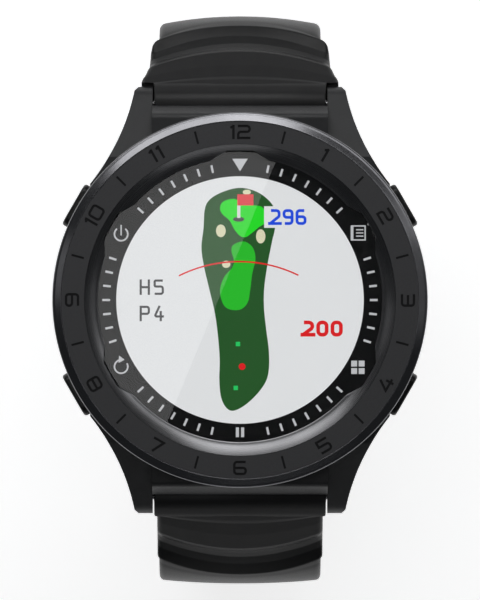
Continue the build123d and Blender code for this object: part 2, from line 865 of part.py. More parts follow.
def free_keeper():
    y, z, heading = walk(buckle_moves())[1][3]
    cy, cz = curve_centre()
    heading += free_keeper_angle
    spot = radians(heading + 90)
    station = (cy + buckle_curve * cos(spot), cz + buckle_curve * sin(spot), heading)
    return station_frame(station) * keeper()


# ---- Buckle ----

def at_buckle(solid):
    return station_frame(buckle_end()) * solid


def buckle_pin():
    pin = rod(buckle_pin_radius, -buckle_pin_half, buckle_pin_half)
    return at_buckle(chamfer(pin.edges().filter_by(GeomType.CIRCLE), pin_chamfer))


def buckle_frame():
    """Open rectangular frame that turns about the pin."""
    length = frame_reach
    body = Pos(0, length / 2, 0) * Box(2 * frame_outer_half, length, 2 * frame_half_thick)
    corners = body.edges().filter_by(Axis.Z).group_by(Axis.Y)[-1]
    body = fillet(corners, frame_round)
    eyes = rod(frame_eye, -frame_outer_half, frame_outer_half)
    body += eyes
    window = Pos(0, (length - frame_bar) / 2 - 2, 0) * Box(2 * frame_inner_half, length - frame_bar + 4, 10)
    body -= window
    return at_buckle(body - rod(buckle_pin_radius + running_fit, -40, 40))


def buckle_tongue():
    """Tongue from the pin to the front bar, which it rests on."""
    eye = rod(tongue_eye, -tongue_half, tongue_half)
    low = frame_half_thick + tongue_rest_gap
    high = low + tongue_thick
    outline = FilletPolyline(
        (0.0, 0.6), (tongue_crank, low - 0.9), (tongue_rise, low - 0.5), (tongue_top, low), (tongue_reach, low),
        (tongue_reach, high - 0.3), (tongue_top, high), (tongue_rise - 0.5, high - 0.4), (tongue_crank, high - 0.7),
        (0.0, tongue_eye),
        radius=[0, 0.5, 1.0, 0.8, 0.1, 0.2, 1.0, 1.0, 1.0, 0], close=True)
    body = eye + across(outline, tongue_half)
    return at_buckle(body - rod(buckle_pin_radius + running_fit, -40, 40))


# ---- Write every piece ----

write("case_middle", case_middle())
write("bezel_ring", bezel_ring())
write("bezel_insert", bezel_insert())
write("slope_ring", slope_ring())
write("lens", lens())
write("lens_seal", lens_seal())
write("display_panel", display_panel())
write("display_frame", display_frame())
write("display_flex", display_flex())
write("main_board", main_board())
write("board_shield", board_shield())
write("board_screws", board_screws())
write("gps_antenna", gps_antenna())
write("button_switches", button_switches())
write("battery", battery())
write("vibration_motor", vibration_motor())
write("buzzer", buzzer())
write("back_cover", back_cover())
write("back_seal", back_seal())
write("back_screws", back_screws())
write("charging_pins", charging_pins())

for place, angle in button_angles.items():
    write(f"{place}_button", placed(angle, button()))
    write(f"{place}_button_seal", placed(angle, button_seal()))
    write(f"{place}_button_clip", placed(angle, button_clip()))
    write(f"{place}_button_spring", placed(angle, button_spring()))

for half, turn in (("upper", 0), ("lower", 180)):
    hinge = Rot(0, 0, turn) * Pos(0, hinge_y, hinge_z)
    write(f"{half}_spring_bar", hinge * spring_bar())
    write(f"{half}_spring_bar_spring", hinge * spring_bar_spring())
    right_flip = 180 if turn else 0
    write(f"{half}_right_bar_tip", hinge * Rot(0, 0, right_flip) * spring_bar_tip())
    write(f"{half}_left_bar_tip", hinge * Rot(0, 0, 180 - right_flip) * spring_bar_tip())

write("strap_buckle_side", strap_buckle_side())
write("strap_tail_side", strap_tail_side())
write("fixed_keeper", fixed_keeper())
write("free_keeper", free_keeper())
write("buckle_pin", buckle_pin())
write("buckle_frame", buckle_frame())
write("buckle_tongue", buckle_tongue())

pin_y, pin_z, pin_heading = buckle_end()
keeper_y, keeper_z = curve_centre()
print(f"hinges at y {hinge_y}, z {hinge_z}; bezel top at {bezel_top:.2f}")
print(f"buckle pin at y {pin_y:.4f}, z {pin_z:.4f}, heading {pin_heading:.3f}")
print(f"free keeper's curve centre at y {keeper_y:.4f}, z {keeper_z:.4f}")
print(f"tail half length {sum(edge.length for edge in walk(tail_moves())[0]):.2f}")
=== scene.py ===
# %% [markdown]
# # A golf GPS watch standing on its open strap
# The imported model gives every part, its place and its joints. This lesson gives the parts their looks.
# Parts whose shape is right keep their mesh and get a finish. Soft or turned parts that need smooth
# curves are worked out again as surfaces with numpy, in the same place and at the same size.

# %% The frame
import json
from math import atan2, cos, pi, radians, sin

import bmesh
import bpy
import numpy as np
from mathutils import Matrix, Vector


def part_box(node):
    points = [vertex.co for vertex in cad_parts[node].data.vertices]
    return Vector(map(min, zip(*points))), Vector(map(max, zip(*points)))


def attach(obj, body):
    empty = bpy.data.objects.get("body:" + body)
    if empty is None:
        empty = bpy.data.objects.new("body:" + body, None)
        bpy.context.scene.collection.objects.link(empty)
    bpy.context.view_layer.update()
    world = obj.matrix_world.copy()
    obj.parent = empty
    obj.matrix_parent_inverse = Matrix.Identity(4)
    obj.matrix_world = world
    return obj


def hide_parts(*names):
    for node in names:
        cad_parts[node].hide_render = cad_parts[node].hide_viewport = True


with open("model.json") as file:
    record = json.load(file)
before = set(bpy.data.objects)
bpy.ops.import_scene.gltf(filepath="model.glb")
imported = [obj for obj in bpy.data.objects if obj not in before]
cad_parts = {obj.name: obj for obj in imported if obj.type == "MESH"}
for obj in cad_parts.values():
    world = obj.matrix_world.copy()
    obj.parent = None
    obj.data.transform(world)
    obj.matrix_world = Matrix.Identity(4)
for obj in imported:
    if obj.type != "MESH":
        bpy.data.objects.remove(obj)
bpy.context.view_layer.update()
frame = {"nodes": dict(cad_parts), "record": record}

MM = 0.001
nodes = frame["nodes"]

# %% [markdown]
# ## Heights and radii
# Everything sits on the levels that the frame's own boxes give, so nothing has to be fitted later.
# They are kept in millimetres, because a watchmaker thinks in them, and meshes are scaled once.

# %% Levels from the frame


def low_of(node, axis):
    """Lowest coordinate of a node along an axis, in millimetres."""
    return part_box(node)[0][axis] / MM


def high_of(node, axis):
    """Highest coordinate of a node along an axis, in millimetres."""
    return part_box(node)[1][axis] / MM


X, Y, Z = 0, 1, 2
bezel_radius = high_of("bezel_ring", X)
bezel_top = high_of("bezel_ring", Z)
case_top = high_of("case_middle", Z)
insert_top = high_of("bezel_insert", Z)
insert_radius = high_of("bezel_insert", X)
slope_outer = high_of("slope_ring", X)
slope_top = high_of("slope_ring", Z)
lens_top = high_of("lens", Z)
lens_bottom = low_of("lens", Z)
lens_radius = high_of("lens", X)
panel_top = high_of("display_panel", Z)
print(f"bezel {2 * bezel_radius:.1f} mm across, lip at {bezel_top:.1f} mm")

# %% [markdown]
# ## Camera
# The watch is seen straight from above through a very long lens, so that the bezel stays a true circle
# and the strap hardly shrinks as it drops away.

# %% Camera
VIEW_HEIGHT = 73.74          # what the view covers from top to bottom at the bezel, in millimetres
CAMERA_DISTANCE = 900.0
SENSOR = 36.0

scene = bpy.context.scene
scene.view_settings.view_transform = "Standard"
camera_data = bpy.data.cameras.new("camera")
camera_data.sensor_width = SENSOR
camera_data.lens = SENSOR * CAMERA_DISTANCE / VIEW_HEIGHT
camera_data.clip_start = 0.01
camera_data.clip_end = 50.0
camera = bpy.data.objects.new("camera", camera_data)
camera.location = (0.0, 0.0, (bezel_top + CAMERA_DISTANCE) * MM)
scene.collection.objects.link(camera)
scene.camera = camera
print(f"lens {camera_data.lens:.0f} mm")

# %% [markdown]
# ## Studio
# A pale floor and soft boxes. A watch is mostly shiny black, so it is drawn by what it mirrors: a wide
# box beyond 12 o'clock lights the polished slopes, and a card high above, set askew, lays the slanting
# pale reflection on the glass.

# %% Floor and lights


def srgb(red, green, blue):
    """A screen colour of 0 to 255 as linear light with full alpha."""
    values = np.array([red, green, blue]) / 255.0
    linear = np.where(values <= 0.04045, values / 12.92, ((values + 0.055) / 1.055) ** 2.4)
    return (*linear.tolist(), 1.0)


def floor_finish():
    """White sweep: plain white paint that also glows a little, as a lit backdrop does."""
    finish = bpy.data.materials.new("floor_white")
    finish.use_nodes = True
    shader = finish.node_tree.nodes["Principled BSDF"]
    shader.inputs["Base Color"].default_value = (0.9, 0.9, 0.9, 1.0)
    shader.inputs["Roughness"].default_value = 0.9
    shader.inputs["Specular IOR Level"].default_value = 0.1
    shader.inputs["Emission Color"].default_value = (1.0, 1.0, 1.0, 1.0)
    shader.inputs["Emission Strength"].default_value = 0.75
    return finish


FLOOR_HALF = 3.0
floor_mesh = bpy.data.meshes.new("floor")
floor_mesh.from_pydata(
    [(FLOOR_HALF * x, FLOOR_HALF * y, 0) for x, y in ((-1, -1), (1, -1), (1, 1), (-1, 1))], [], [(0, 1, 2, 3)])
floor_mesh.materials.append(floor_finish())
floor = bpy.data.objects.new("floor", floor_mesh)
scene.collection.objects.link(floor)

world = bpy.data.worlds.new("studio")
world.use_nodes = True
world.node_tree.nodes["Background"].inputs["Color"].default_value = (0.9, 0.95, 1.0, 1.0)
world.node_tree.nodes["Background"].inputs["Strength"].default_value = 0.05
scene.world = world


def soft_box(name, place, target, size, radiance):
    """A rectangular lamp at a place, in metres, aimed at a target, of a given radiance."""
    lamp = bpy.data.lights.new(name, "AREA")
    lamp.shape = "RECTANGLE"
    lamp.size, lamp.size_y = size
    lamp.energy = radiance * pi * size[0] * size[1]
    box = bpy.data.objects.new(name, lamp)
    box.location = place
    direction = Vector(target) - Vector(place)
    box.rotation_euler = direction.to_track_quat("-Z", "Y").to_euler()
    scene.collection.objects.link(box)
    return box


def around(clock_degrees, elevation, distance):
    """A place round the dial: degrees clockwise from 12 o'clock, degrees above the table, metres."""
    turn, rise = radians(clock_degrees), radians(elevation)
    centre = bezel_top * MM
    return (distance * sin(turn) * cos(rise), distance * cos(turn) * cos(rise), centre + distance * sin(rise))


DIAL = (0.0, 0.0, bezel_top * MM)
SOFT_BOXES = (               # name, clock degrees, elevation, distance, size, radiance
    ("box_north", -12, 38, 0.26, (0.25, 0.1), 2.8),
    ("box_high", 34, 46, 0.32, (0.34, 0.08), 1.4),
    ("box_west", -80, 34, 0.7, (0.2, 0.2), 0.35),
    ("box_east", 85, 40, 0.7, (0.3, 0.2), 0.22),
    ("box_south", 170, 24, 0.7, (0.5, 0.1), 0.9),
)
for name, clock_degrees, elevation, distance, size, radiance in SOFT_BOXES:
    soft_box(name, around(clock_degrees, elevation, distance), DIAL, size, radiance)


def mirror_card():
    """Card above the camera whose straight edge shows askew in the glass.

    A point p on the glass mirrors the point p * (1 + height / camera distance) at that height.
    """
    height = 1.3
    radiance = 0.75
    spread = 1.0 + height / (CAMERA_DISTANCE * MM)
    upper = np.array([4.3, 16.8]) * MM * spread
    lower = np.array([-8.8, -14.7]) * MM * spread
    along = (upper - lower) / np.linalg.norm(upper - lower)
    away = np.array([-along[1], along[0]])
    size = (0.5, 0.9)
    middle = (upper + lower) / 2 + away * size[0] / 2
    lamp = bpy.data.lights.new("mirror_card", "AREA")
    lamp.shape = "RECTANGLE"
    lamp.size, lamp.size_y = size
    lamp.energy = radiance * pi * size[0] * size[1]
    card = bpy.data.objects.new("mirror_card", lamp)
    card.location = (middle[0], middle[1], bezel_top * MM + height)
    card.rotation_euler = (0.0, 0.0, -atan2(along[0], along[1]))
    scene.collection.objects.link(card)


mirror_card()

# %% [markdown]
# ## Finishes
# Each finish is the principled shader with its constants set on its own sockets. Noise in object
# coordinates varies colour and gloss a little and gives the fine grain. Turned metal gets rings:
# noise that depends only on the distance from the dial's axis.

# %% Building blocks for finishes


def start_finish(name, **constants):
    """A new material with a principled shader and the given constants."""
    finish = bpy.data.materials.new(name)
    finish.use_nodes = True
    shader = finish.node_tree.nodes["Principled BSDF"]
    for socket, value in constants.items():
        shader.inputs[socket.replace("_", " ")].default_value = value
    return finish, finish.node_tree, shader


def object_point(tree):
    return tree.nodes.new("ShaderNodeTexCoord").outputs["Object"]


def noise(tree, point, size_mm, detail=3.0, stretch=None):
    """Noise of 0 to 1 whose blobs are about size_mm across, stretched if asked."""
    if stretch:
        mapping = tree.nodes.new("ShaderNodeMapping")
        mapping.inputs["Scale"].default_value = stretch
        tree.links.new(point, mapping.inputs["Vector"])
        point = mapping.outputs["Vector"]
    node = tree.nodes.new("ShaderNodeTexNoise")
    node.inputs["Scale"].default_value = 1.0 / (size_mm * MM)
    node.inputs["Detail"].default_value = detail
    tree.links.new(point, node.inputs["Vector"])
    return node.outputs["Fac"]


def rings(tree, point, size_mm):
    """Noise that depends only on the distance from the dial's axis."""
    flat = tree.nodes.new("ShaderNodeVectorMath")
    flat.operation = "MULTIPLY"
    flat.inputs[1].default_value = (1.0, 1.0, 0.0)
    length = tree.nodes.new("ShaderNodeVectorMath")
    length.operation = "LENGTH"
    node = tree.nodes.new("ShaderNodeTexNoise")
    node.noise_dimensions = "1D"
    node.inputs["Scale"].default_value = 1.0 / (size_mm * MM)
    node.inputs["Detail"].default_value = 4.0
    tree.links.new(point, flat.inputs[0])
    tree.links.new(flat.outputs[0], length.inputs[0])
    tree.links.new(length.outputs["Value"], node.inputs["W"])
    return node.outputs["Fac"]


def spread_to(tree, value, low, high):
    """Carry a value that hovers round the middle to a range."""
    node = tree.nodes.new("ShaderNodeMapRange")
    node.inputs["From Min"].default_value = 0.3
    node.inputs["From Max"].default_value = 0.7
    node.inputs["To Min"].default_value = low
    node.inputs["To Max"].default_value = high
    tree.links.new(value, node.inputs["Value"])
    return node.outputs["Result"]


def between(tree, value, first, second):
    """A colour between two colours."""
    node = tree.nodes.new("ShaderNodeMix")
    node.data_type = "RGBA"
    node.inputs["A"].default_value = first
    node.inputs["B"].default_value = second
    tree.links.new(value, node.inputs["Factor"])
    return node


def relief(tree, shader, value, height_mm):
    """Bump the surface by a value times a height."""
    node = tree.nodes.new("ShaderNodeBump")
    node.inputs["Distance"].default_value = height_mm * MM
    node.inputs["Strength"].default_value = 1.0
    tree.links.new(value, node.inputs["Height"])
    tree.links.new(node.outputs["Normal"], shader.inputs["Normal"])


def grained(name, dark, light, gloss, grain_mm, height_mm, **constants):
    """A finish with blotchy colour, uneven gloss and a fine grain."""
    finish, tree, shader = start_finish(name, **constants)
    point = object_point(tree)
    blotch = noise(tree, point, 3.0)
    fine = noise(tree, point, grain_mm, 4.0)
    colour = between(tree, spread_to(tree, blotch, 0.0, 1.0), dark, light)
    tree.links.new(colour.outputs["Result"], shader.inputs["Base Color"])
    tree.links.new(spread_to(tree, fine, gloss[0], gloss[1]), shader.inputs["Roughness"])
    relief(tree, shader, fine, height_mm)
    return finish


def turned_metal(name, dark, light, gloss, ring_mm, height_mm, **constants):
    """Metal with the fine rings that a lathe or a circular brush leaves."""
    finish, tree, shader = start_finish(name, **constants)
    point = object_point(tree)
    lines = rings(tree, point, ring_mm)
    blotch = noise(tree, point, 4.0)
    colour = between(tree, spread_to(tree, blotch, 0.0, 1.0), dark, light)
    tree.links.new(colour.outputs["Result"], shader.inputs["Base Color"])
    tree.links.new(spread_to(tree, lines, gloss[0], gloss[1]), shader.inputs["Roughness"])
    relief(tree, shader, lines, height_mm)
    return finish


# %% [markdown]
# ## The finishes of this watch
# Hard-coated dark steel for the bezel, a matte coating for the numbered ring, fibre-filled nylon for the
# case, soft rubber for the strap, satin black for the buttons.

# %% Finishes of the case and bezel


def case_nylon():
    """Fibre-filled nylon: near black, matte, with a fine moulded grain."""
    return grained("case_nylon", srgb(30, 31, 33), srgb(38, 39, 41), (0.42, 0.56), 0.16, 0.01)


def bezel_steel():
    """Dark hard-coated steel, polished, with faint turning rings."""
    return turned_metal(
        "bezel_steel", srgb(114, 114, 117), srgb(124, 124, 127), (0.16, 0.24), 0.05, 0.0006, Metallic=1.0)


def slope_steel():
    """The same steel on the sloped ring, a little more satin."""
    return turned_metal(
        "slope_steel", srgb(112, 112, 114), srgb(122, 122, 124), (0.24, 0.32), 0.05, 0.0008, Metallic=1.0)


def insert_coating():
    """Matte grey coating; the engraved numbers, which lie deeper, are filled with dark paint."""
    finish, tree, shader = start_finish("insert_coating", Metallic=0.5)
    point = object_point(tree)
    fine = noise(tree, point, 0.08, 4.0)
    lines = rings(tree, point, 0.09)
    depth = tree.nodes.new("ShaderNodeSeparateXYZ")
    tree.links.new(point, depth.inputs[0])
    painted = tree.nodes.new("ShaderNodeMath")
    painted.operation = "LESS_THAN"
    painted.inputs[1].default_value = (insert_top - 0.02) * MM
    tree.links.new(depth.outputs["Z"], painted.inputs[0])
    coat = between(tree, spread_to(tree, fine, 0.0, 1.0), srgb(74, 74, 76), srgb(82, 82, 84))
    both = between(tree, painted.outputs[0], (0, 0, 0, 1), srgb(26, 26, 28))
    tree.links.new(coat.outputs["Result"], both.inputs["A"])
    tree.links.new(both.outputs["Result"], shader.inputs["Base Color"])
    tree.links.new(spread_to(tree, lines, 0.42, 0.52), shader.inputs["Roughness"])
    relief(tree, shader, fine, 0.004)
    return finish


def button_black():
    """Satin black coated metal."""
    return grained(
        "button_black", srgb(16, 16, 17), srgb(21, 21, 22), (0.26, 0.34), 0.3, 0.0008, Specular_IOR_Level=0.35)


def strap_rubber():
    """Soft matte rubber with a silky sheen and a very fine skin."""
    return grained(
        "strap_rubber", srgb(25, 25, 26), srgb(31, 31, 32), (0.38, 0.48), 0.12, 0.004,
        Specular_IOR_Level=0.32, Sheen_Weight=0.03, Sheen_Roughness=0.4)


def lens_glass():
    """Clear hardened glass."""
    finish, tree, shader = start_finish(
        "lens_glass", Base_Color=(1.0, 1.0, 1.0, 1.0), Roughness=0.0, IOR=1.5, Transmission_Weight=1.0)
    smear = noise(tree, object_point(tree), 9.0, 2.0)
    tree.links.new(spread_to(tree, smear, 0.0, 0.004), shader.inputs["Roughness"])
    return finish


# %% Finishes of the small and inner parts


def buckle_steel():
    """Dark coated buckle steel, brushed across the strap."""
    finish, tree, shader = start_finish("buckle_steel", Metallic=1.0)
    point = object_point(tree)
    brush = noise(tree, point, 0.05, 3.0, stretch=(0.04, 1.0, 1.0))
    blotch = noise(tree, point, 3.0)
    colour = between(tree, spread_to(tree, blotch, 0.0, 1.0), srgb(72, 72, 75), srgb(84, 84, 86))
    tree.links.new(colour.outputs["Result"], shader.inputs["Base Color"])
    tree.links.new(spread_to(tree, brush, 0.24, 0.4), shader.inputs["Roughness"])
    relief(tree, shader, brush, 0.002)
    return finish


def board_laminate():
    """Green solder mask with the faint weave of the glass cloth under it."""
    finish, tree, shader = start_finish("board_laminate", Coat_Weight=0.4, Coat_Roughness=0.15)
    point = object_point(tree)
    warp = noise(tree, point, 0.5, 1.0, stretch=(1.0, 0.2, 1.0))
    weft = noise(tree, point, 0.5, 1.0, stretch=(0.2, 1.0, 1.0))
    cloth = tree.nodes.new("ShaderNodeMath")
    cloth.operation = "MULTIPLY"
    tree.links.new(warp, cloth.inputs[0])
    tree.links.new(weft, cloth.inputs[1])
    colour = between(tree, cloth.outputs[0], srgb(14, 78, 48), srgb(40, 120, 74))
    tree.links.new(colour.outputs["Result"], shader.inputs["Base Color"])
    tree.links.new(spread_to(tree, warp, 0.3, 0.4), shader.inputs["Roughness"])
    relief(tree, shader, cloth.outputs[0], 0.01)
    return finish


def display_painted_glow():
    """The reflective panel: nearly white, with a faint grain. Its even glow is painted light that stands in for the
    studio light reaching it through the glass.
    """
    finish, tree, shader = start_finish(
        "display_painted_glow", Roughness=0.6, Specular_IOR_Level=0.2, Emission_Strength=0.84)
    fine = noise(tree, object_point(tree), 0.13, 1.0)
    colour = between(tree, spread_to(tree, fine, 0.0, 1.0), srgb(236, 238, 240), srgb(244, 246, 247))
    # The emission colour is painted light: the panel's brightness is given as glow, not lit by the lamps.
    tree.links.new(colour.outputs["Result"], shader.inputs["Emission Color"])
    shader.inputs["Base Color"].default_value = srgb(96, 97, 98)
    return finish


PLAIN_FINISHES = {           # name: dark, light, gloss, grain and height in millimetres, metallic
    "bar_steel": ((150, 150, 152), (176, 176, 178), (0.22, 0.34), 0.2, 0.001, 1.0),
    "screw_steel": ((96, 96, 99), (118, 118, 120), (0.25, 0.35), 0.2, 0.001, 1.0),
    "contact_gold": ((222, 180, 96), (236, 198, 118), (0.18, 0.3), 0.2, 0.001, 1.0),
    "seal_silicone": ((30, 30, 31), (38, 38, 39), (0.5, 0.65), 0.2, 0.003, 0.0),
    "tray_nylon": ((40, 41, 43), (50, 51, 53), (0.45, 0.6), 0.15, 0.006, 0.0),
    "flex_film": ((176, 112, 40), (196, 130, 54), (0.25, 0.35), 0.5, 0.002, 0.0),
    "antenna_ceramic": ((206, 200, 186), (220, 215, 203), (0.35, 0.5), 0.3, 0.003, 0.0),
    "shield_tin": ((170, 170, 172), (190, 190, 192), (0.3, 0.42), 0.4, 0.002, 1.0),
    "battery_foil": ((172, 174, 178), (194, 196, 200), (0.3, 0.5), 1.2, 0.03, 0.9),
}
plain = {name: grained(name, srgb(*dark), srgb(*light), gloss, grain, height, Metallic=metallic)
         for name, (dark, light, gloss, grain, height, metallic) in PLAIN_FINISHES.items()}
cover_steel = turned_metal(
    "cover_steel", srgb(128, 128, 131), srgb(146, 146, 149), (0.26, 0.42), 0.07, 0.002, Metallic=1.0)
slot_finish = {
    "case_polymer": case_nylon(), "bezel_metal": bezel_steel(), "insert_coating": insert_coating(),
    "slope_metal": slope_steel(), "lens_glass": lens_glass(), "seal_rubber": plain["seal_silicone"],
    "display_face": display_painted_glow(), "inner_polymer": plain["tray_nylon"], "flex_film": plain["flex_film"],
    "board_laminate": board_laminate(), "shield_steel": plain["shield_tin"], "screw_steel": plain["screw_steel"],
    "antenna_ceramic": plain["antenna_ceramic"], "switch_steel": plain["screw_steel"],
    "battery_foil": plain["battery_foil"], "cover_steel": cover_steel, "contact_gold": plain["contact_gold"],
    "bar_steel": plain["bar_steel"], "buckle_steel": buckle_steel(), "button_metal": button_black(),
    "strap_rubber": strap_rubber(),
}
slot_of = {row["node"]: row["material_slot"] for row in frame["record"]["subparts"]}
for node, part in nodes.items():
    part.data.materials.clear()
    part.data.materials.append(slot_finish[slot_of[node]])
print(f"{len(slot_finish)} finishes")

# %% [markdown]
# ## From arrays to pieces
# A surface here is a grid of points: rows along it, and columns round it. Two helpers turn such a grid
# into a mesh and put the piece on its body, in place of the node that it stands for.

# %% Grid to mesh


def settle(mesh, sharp):
    """Merge doubles, point faces outwards, smooth all but edges sharper than an angle."""
    work = bmesh.new()
    work.from_mesh(mesh)
    bmesh.ops.remove_doubles(work, verts=work.verts, dist=1e-7)
    bmesh.ops.dissolve_degenerate(work, edges=work.edges, dist=1e-8)
    bmesh.ops.recalc_face_normals(work, faces=work.faces)
    work.to_mesh(mesh)
    work.free()
    mesh.shade_smooth()
    mesh.set_sharp_from_angle(angle=radians(sharp))


def grid_mesh(name, points, closed_rows=False, caps="", sharp=35.0):
    """Mesh of a (rows, columns, 3) grid in millimetres whose columns run round in a ring.

    closed_rows joins the last row to the first; caps closes the "both" ends or only the "last".
    """
    rows, columns = points.shape[:2]
    index = np.arange(rows * columns).reshape(rows, columns)
    here = index if closed_rows else index[:-1]
    there = np.roll(index, -1, axis=0) if closed_rows else index[1:]
    quads = np.stack([here, np.roll(here, -1, axis=1), np.roll(there, -1, axis=1), there], axis=-1)
    faces = quads.reshape(-1, 4).tolist()
    if caps == "both":
        faces.append(index[0, ::-1].tolist())
    if caps:
        faces.append(index[-1].tolist())
    mesh = bpy.data.meshes.new(name)
    mesh.from_pydata((points.reshape(-1, 3) * MM).tolist(), [], faces)
    settle(mesh, sharp)
    return mesh


def piece(name, mesh, finish, body, replaced=()):
    """Put a mesh on a body with a finish, hiding the nodes that it replaces."""
    thing = bpy.data.objects.new(name, mesh)
    scene.collection.objects.link(thing)
    mesh.materials.clear()
    mesh.materials.append(finish)
    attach(thing, body)
    if replaced:
        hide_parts(*replaced)
    return thing


SUPPORT = 0.04


def rounded(corners, closed=True):
    """Line through (x, y, radius) corners, each corner an arc that touches both sides.

    One more point stands just outside each end of an arc. It keeps the flat beside it looking flat,
    because smooth shading then turns over only that short piece.
    """
    spots = np.array([corner[:2] for corner in corners], float)
    result = []
    for number, corner in enumerate(corners):
        here = spots[number]
        radius = corner[2] if len(corner) > 2 else 0.0
        if radius <= 0 or (not closed and number in (0, len(spots) - 1)):
            result.append(here[None])
            continue
        back = spots[number - 1] - here
        ahead = spots[(number + 1) % len(spots)] - here
        back /= np.linalg.norm(back)
        ahead /= np.linalg.norm(ahead)
        half = np.arccos(np.clip(back @ ahead, -1, 1)) / 2
        bisector = (back + ahead) / np.linalg.norm(back + ahead)
        centre = here + bisector * radius / sin(half)
        first = here + back * radius / np.tan(half) - centre
        last = here + ahead * radius / np.tan(half) - centre
        steps = np.linspace(0, 1, 7)[:, None]
        sweep = pi - 2 * half
        arc = (np.sin((1 - steps) * sweep) * first + np.sin(steps * sweep) * last) / sin(sweep)
        bend = centre + arc
        result.append(np.concatenate([bend[:1] + back * SUPPORT, bend, bend[-1:] + ahead * SUPPORT]))
    return np.concatenate(result)


# %% [markdown]
# ## Bezel
# The bezel is turned: one outline carried round the dial's axis. Small radii on every lip catch the
# light as a real lathe-finished edge does.

# %% Turned parts


def lathe(name, corners, steps=384):
    """Mesh of a (radius, height, rounding) outline carried round the dial's axis."""
    outline = rounded(corners)
    turn = np.linspace(0, 2 * pi, steps, endpoint=False)[:, None]
    radius, height = outline[None, :, 0], outline[None, :, 1]
    height = np.broadcast_to(height, (steps, outline.shape[0]))
    points = np.stack([radius * np.cos(turn), radius * np.sin(turn), height], axis=-1)
    return grid_mesh(name, points, closed_rows=True, sharp=22.0)


RIM_WIDTH = 0.36
SLOPE_DROP = 0.35
LIP = insert_radius + 0.06
FLANGE_INNER = 16.6
SKIRT_RADIUS = 19.0
SKIRT_FLARE = 22.7
INSERT_SEAT = 19.17
INSERT_THICK = 0.5
LENS_ROOM = 0.06
flange_top = low_of("lens_seal", Z)
flange_low = flange_top - 0.5
bezel_mesh = lathe("bezel", [
    (FLANGE_INNER, flange_low), (SKIRT_RADIUS, flange_low), (SKIRT_RADIUS, case_top), (SKIRT_FLARE, case_top, 0.05),
    (bezel_radius, case_top + 0.6, 0.5), (bezel_radius, bezel_top - SLOPE_DROP - 0.12, 0.28),
    (bezel_radius - RIM_WIDTH, bezel_top - SLOPE_DROP, 0.15), (LIP + 0.02, bezel_top, 0.05),
    (LIP, bezel_top - 0.05), (LIP, insert_top - INSERT_THICK), (INSERT_SEAT, insert_top - INSERT_THICK),
    (INSERT_SEAT, lens_top), (lens_radius + LENS_ROOM, lens_top), (lens_radius + LENS_ROOM, flange_top),
    (FLANGE_INNER, flange_top)])
piece("bezel", bezel_mesh, slot_finish["bezel_metal"], "case", ["bezel_ring"])
print(f"bezel of {len(bezel_mesh.polygons)} faces")

# %% [markdown]
# The sloped ring inside the numbers has five notches in its lower edge. Round the ring the inner
# radius is a function of the angle, with a straight-sided notch at each marked hour, and the slope
# itself is a shallow hollow between the inner and the outer edge.

# %% Sloped ring
NOTCH_HOURS = (12, 2, 4, 8, 10)
SLOPE_INNER = 17.5
NOTCH_TOP = 18.37
NOTCH_NARROW = 1.6
NOTCH_WIDE = 3.0
NOTCH_REACH = 0.3            # radians either side of the hour


def inner_radius(turn):
    """Radius of the ring's inner edge at an angle: 17.5, or out to the notch's straight outline."""
    radius = np.full_like(turn, SLOPE_INNER)
    for hour in NOTCH_HOURS:
        away = np.abs((turn - radians(90 - 30 * hour) + pi) % (2 * pi) - pi)
        near = np.minimum(away, NOTCH_REACH)
        flank = (NOTCH_WIDE - NOTCH_NARROW) / (NOTCH_TOP - SLOPE_INNER)
        flat = NOTCH_TOP / np.cos(near)
        slanted = (NOTCH_NARROW + flank * NOTCH_TOP) / (np.sin(near) + flank * np.cos(near))
        radius = np.where(away < NOTCH_REACH, np.maximum(radius, np.minimum(flat, slanted)), radius)
    return radius


def slope_height(radius):
    """Height on the slope: steep at the numbers, flattening in a hollow towards the glass."""
    share = (radius - SLOPE_INNER) / (slope_outer - SLOPE_INNER)
    return lens_top + 0.1 + (slope_top - lens_top - 0.1) * share ** 1.35


def slope_ring_mesh(steps=1440, across=18):
    turn = np.linspace(0, 2 * pi, steps, endpoint=False)[:, None]
    inner = inner_radius(turn)
    outer = slope_outer - 0.12
    share = np.linspace(0, 1, across)[None, :]
    radius = inner + (outer - inner) * share
    height = slope_height(radius)
    outside = np.full_like(turn, slope_outer)
    low = np.full_like(turn, lens_top)
    high = np.full_like(turn, slope_top)
    radius = np.concatenate([inner, inner + 0.0 * turn, radius[:, 1:], outside, outside], axis=1)
    height = np.concatenate([low, height[:, :1] - 0.03, height[:, 1:], high, low], axis=1)
    points = np.stack([radius * np.cos(turn), radius * np.sin(turn), height], axis=-1)
    return grid_mesh("sloped_ring", points, closed_rows=True, sharp=32.0)


slope_mesh = slope_ring_mesh()
piece("sloped_ring", slope_mesh, slot_finish["slope_metal"], "case", ["slope_ring"])
print(f"sloped ring of {len(slope_mesh.polygons)} faces")

# %% [markdown]
# ## Print under the glass and the picture on the display
# The black ring, its minute marks and small signs are ink on the underside of the glass. The course
# map is a stack of very thin sheets on the panel, each a closed outline with straight sides.

# %% Flat films


def film_mesh(name, outlines, low, thickness):
    """Thin prisms, one for each (n, 2) outline in millimetres."""
    points, faces, start = [], [], 0
    for outline in outlines:
        count = len(outline)
        area = np.sum(outline[:, 0] * np.roll(outline[:, 1], -1) - np.roll(outline[:, 0], -1) * outline[:, 1])
        ordered = outline if area > 0 else outline[::-1]
        points.append(np.column_stack([ordered, np.full(count, low)]))
        points.append(np.column_stack([ordered, np.full(count, low + thickness)]))
        first = np.arange(count)
        after = np.roll(first, -1)
        sides = np.stack([first, after, after + count, first + count], axis=-1) + start
        faces += sides.tolist()
        faces += [(start + first[::-1]).tolist(), (start + count + first).tolist()]
        start += 2 * count
    mesh = bpy.data.meshes.new(name)
    mesh.from_pydata((np.concatenate(points) * MM).tolist(), [], faces)
    return mesh


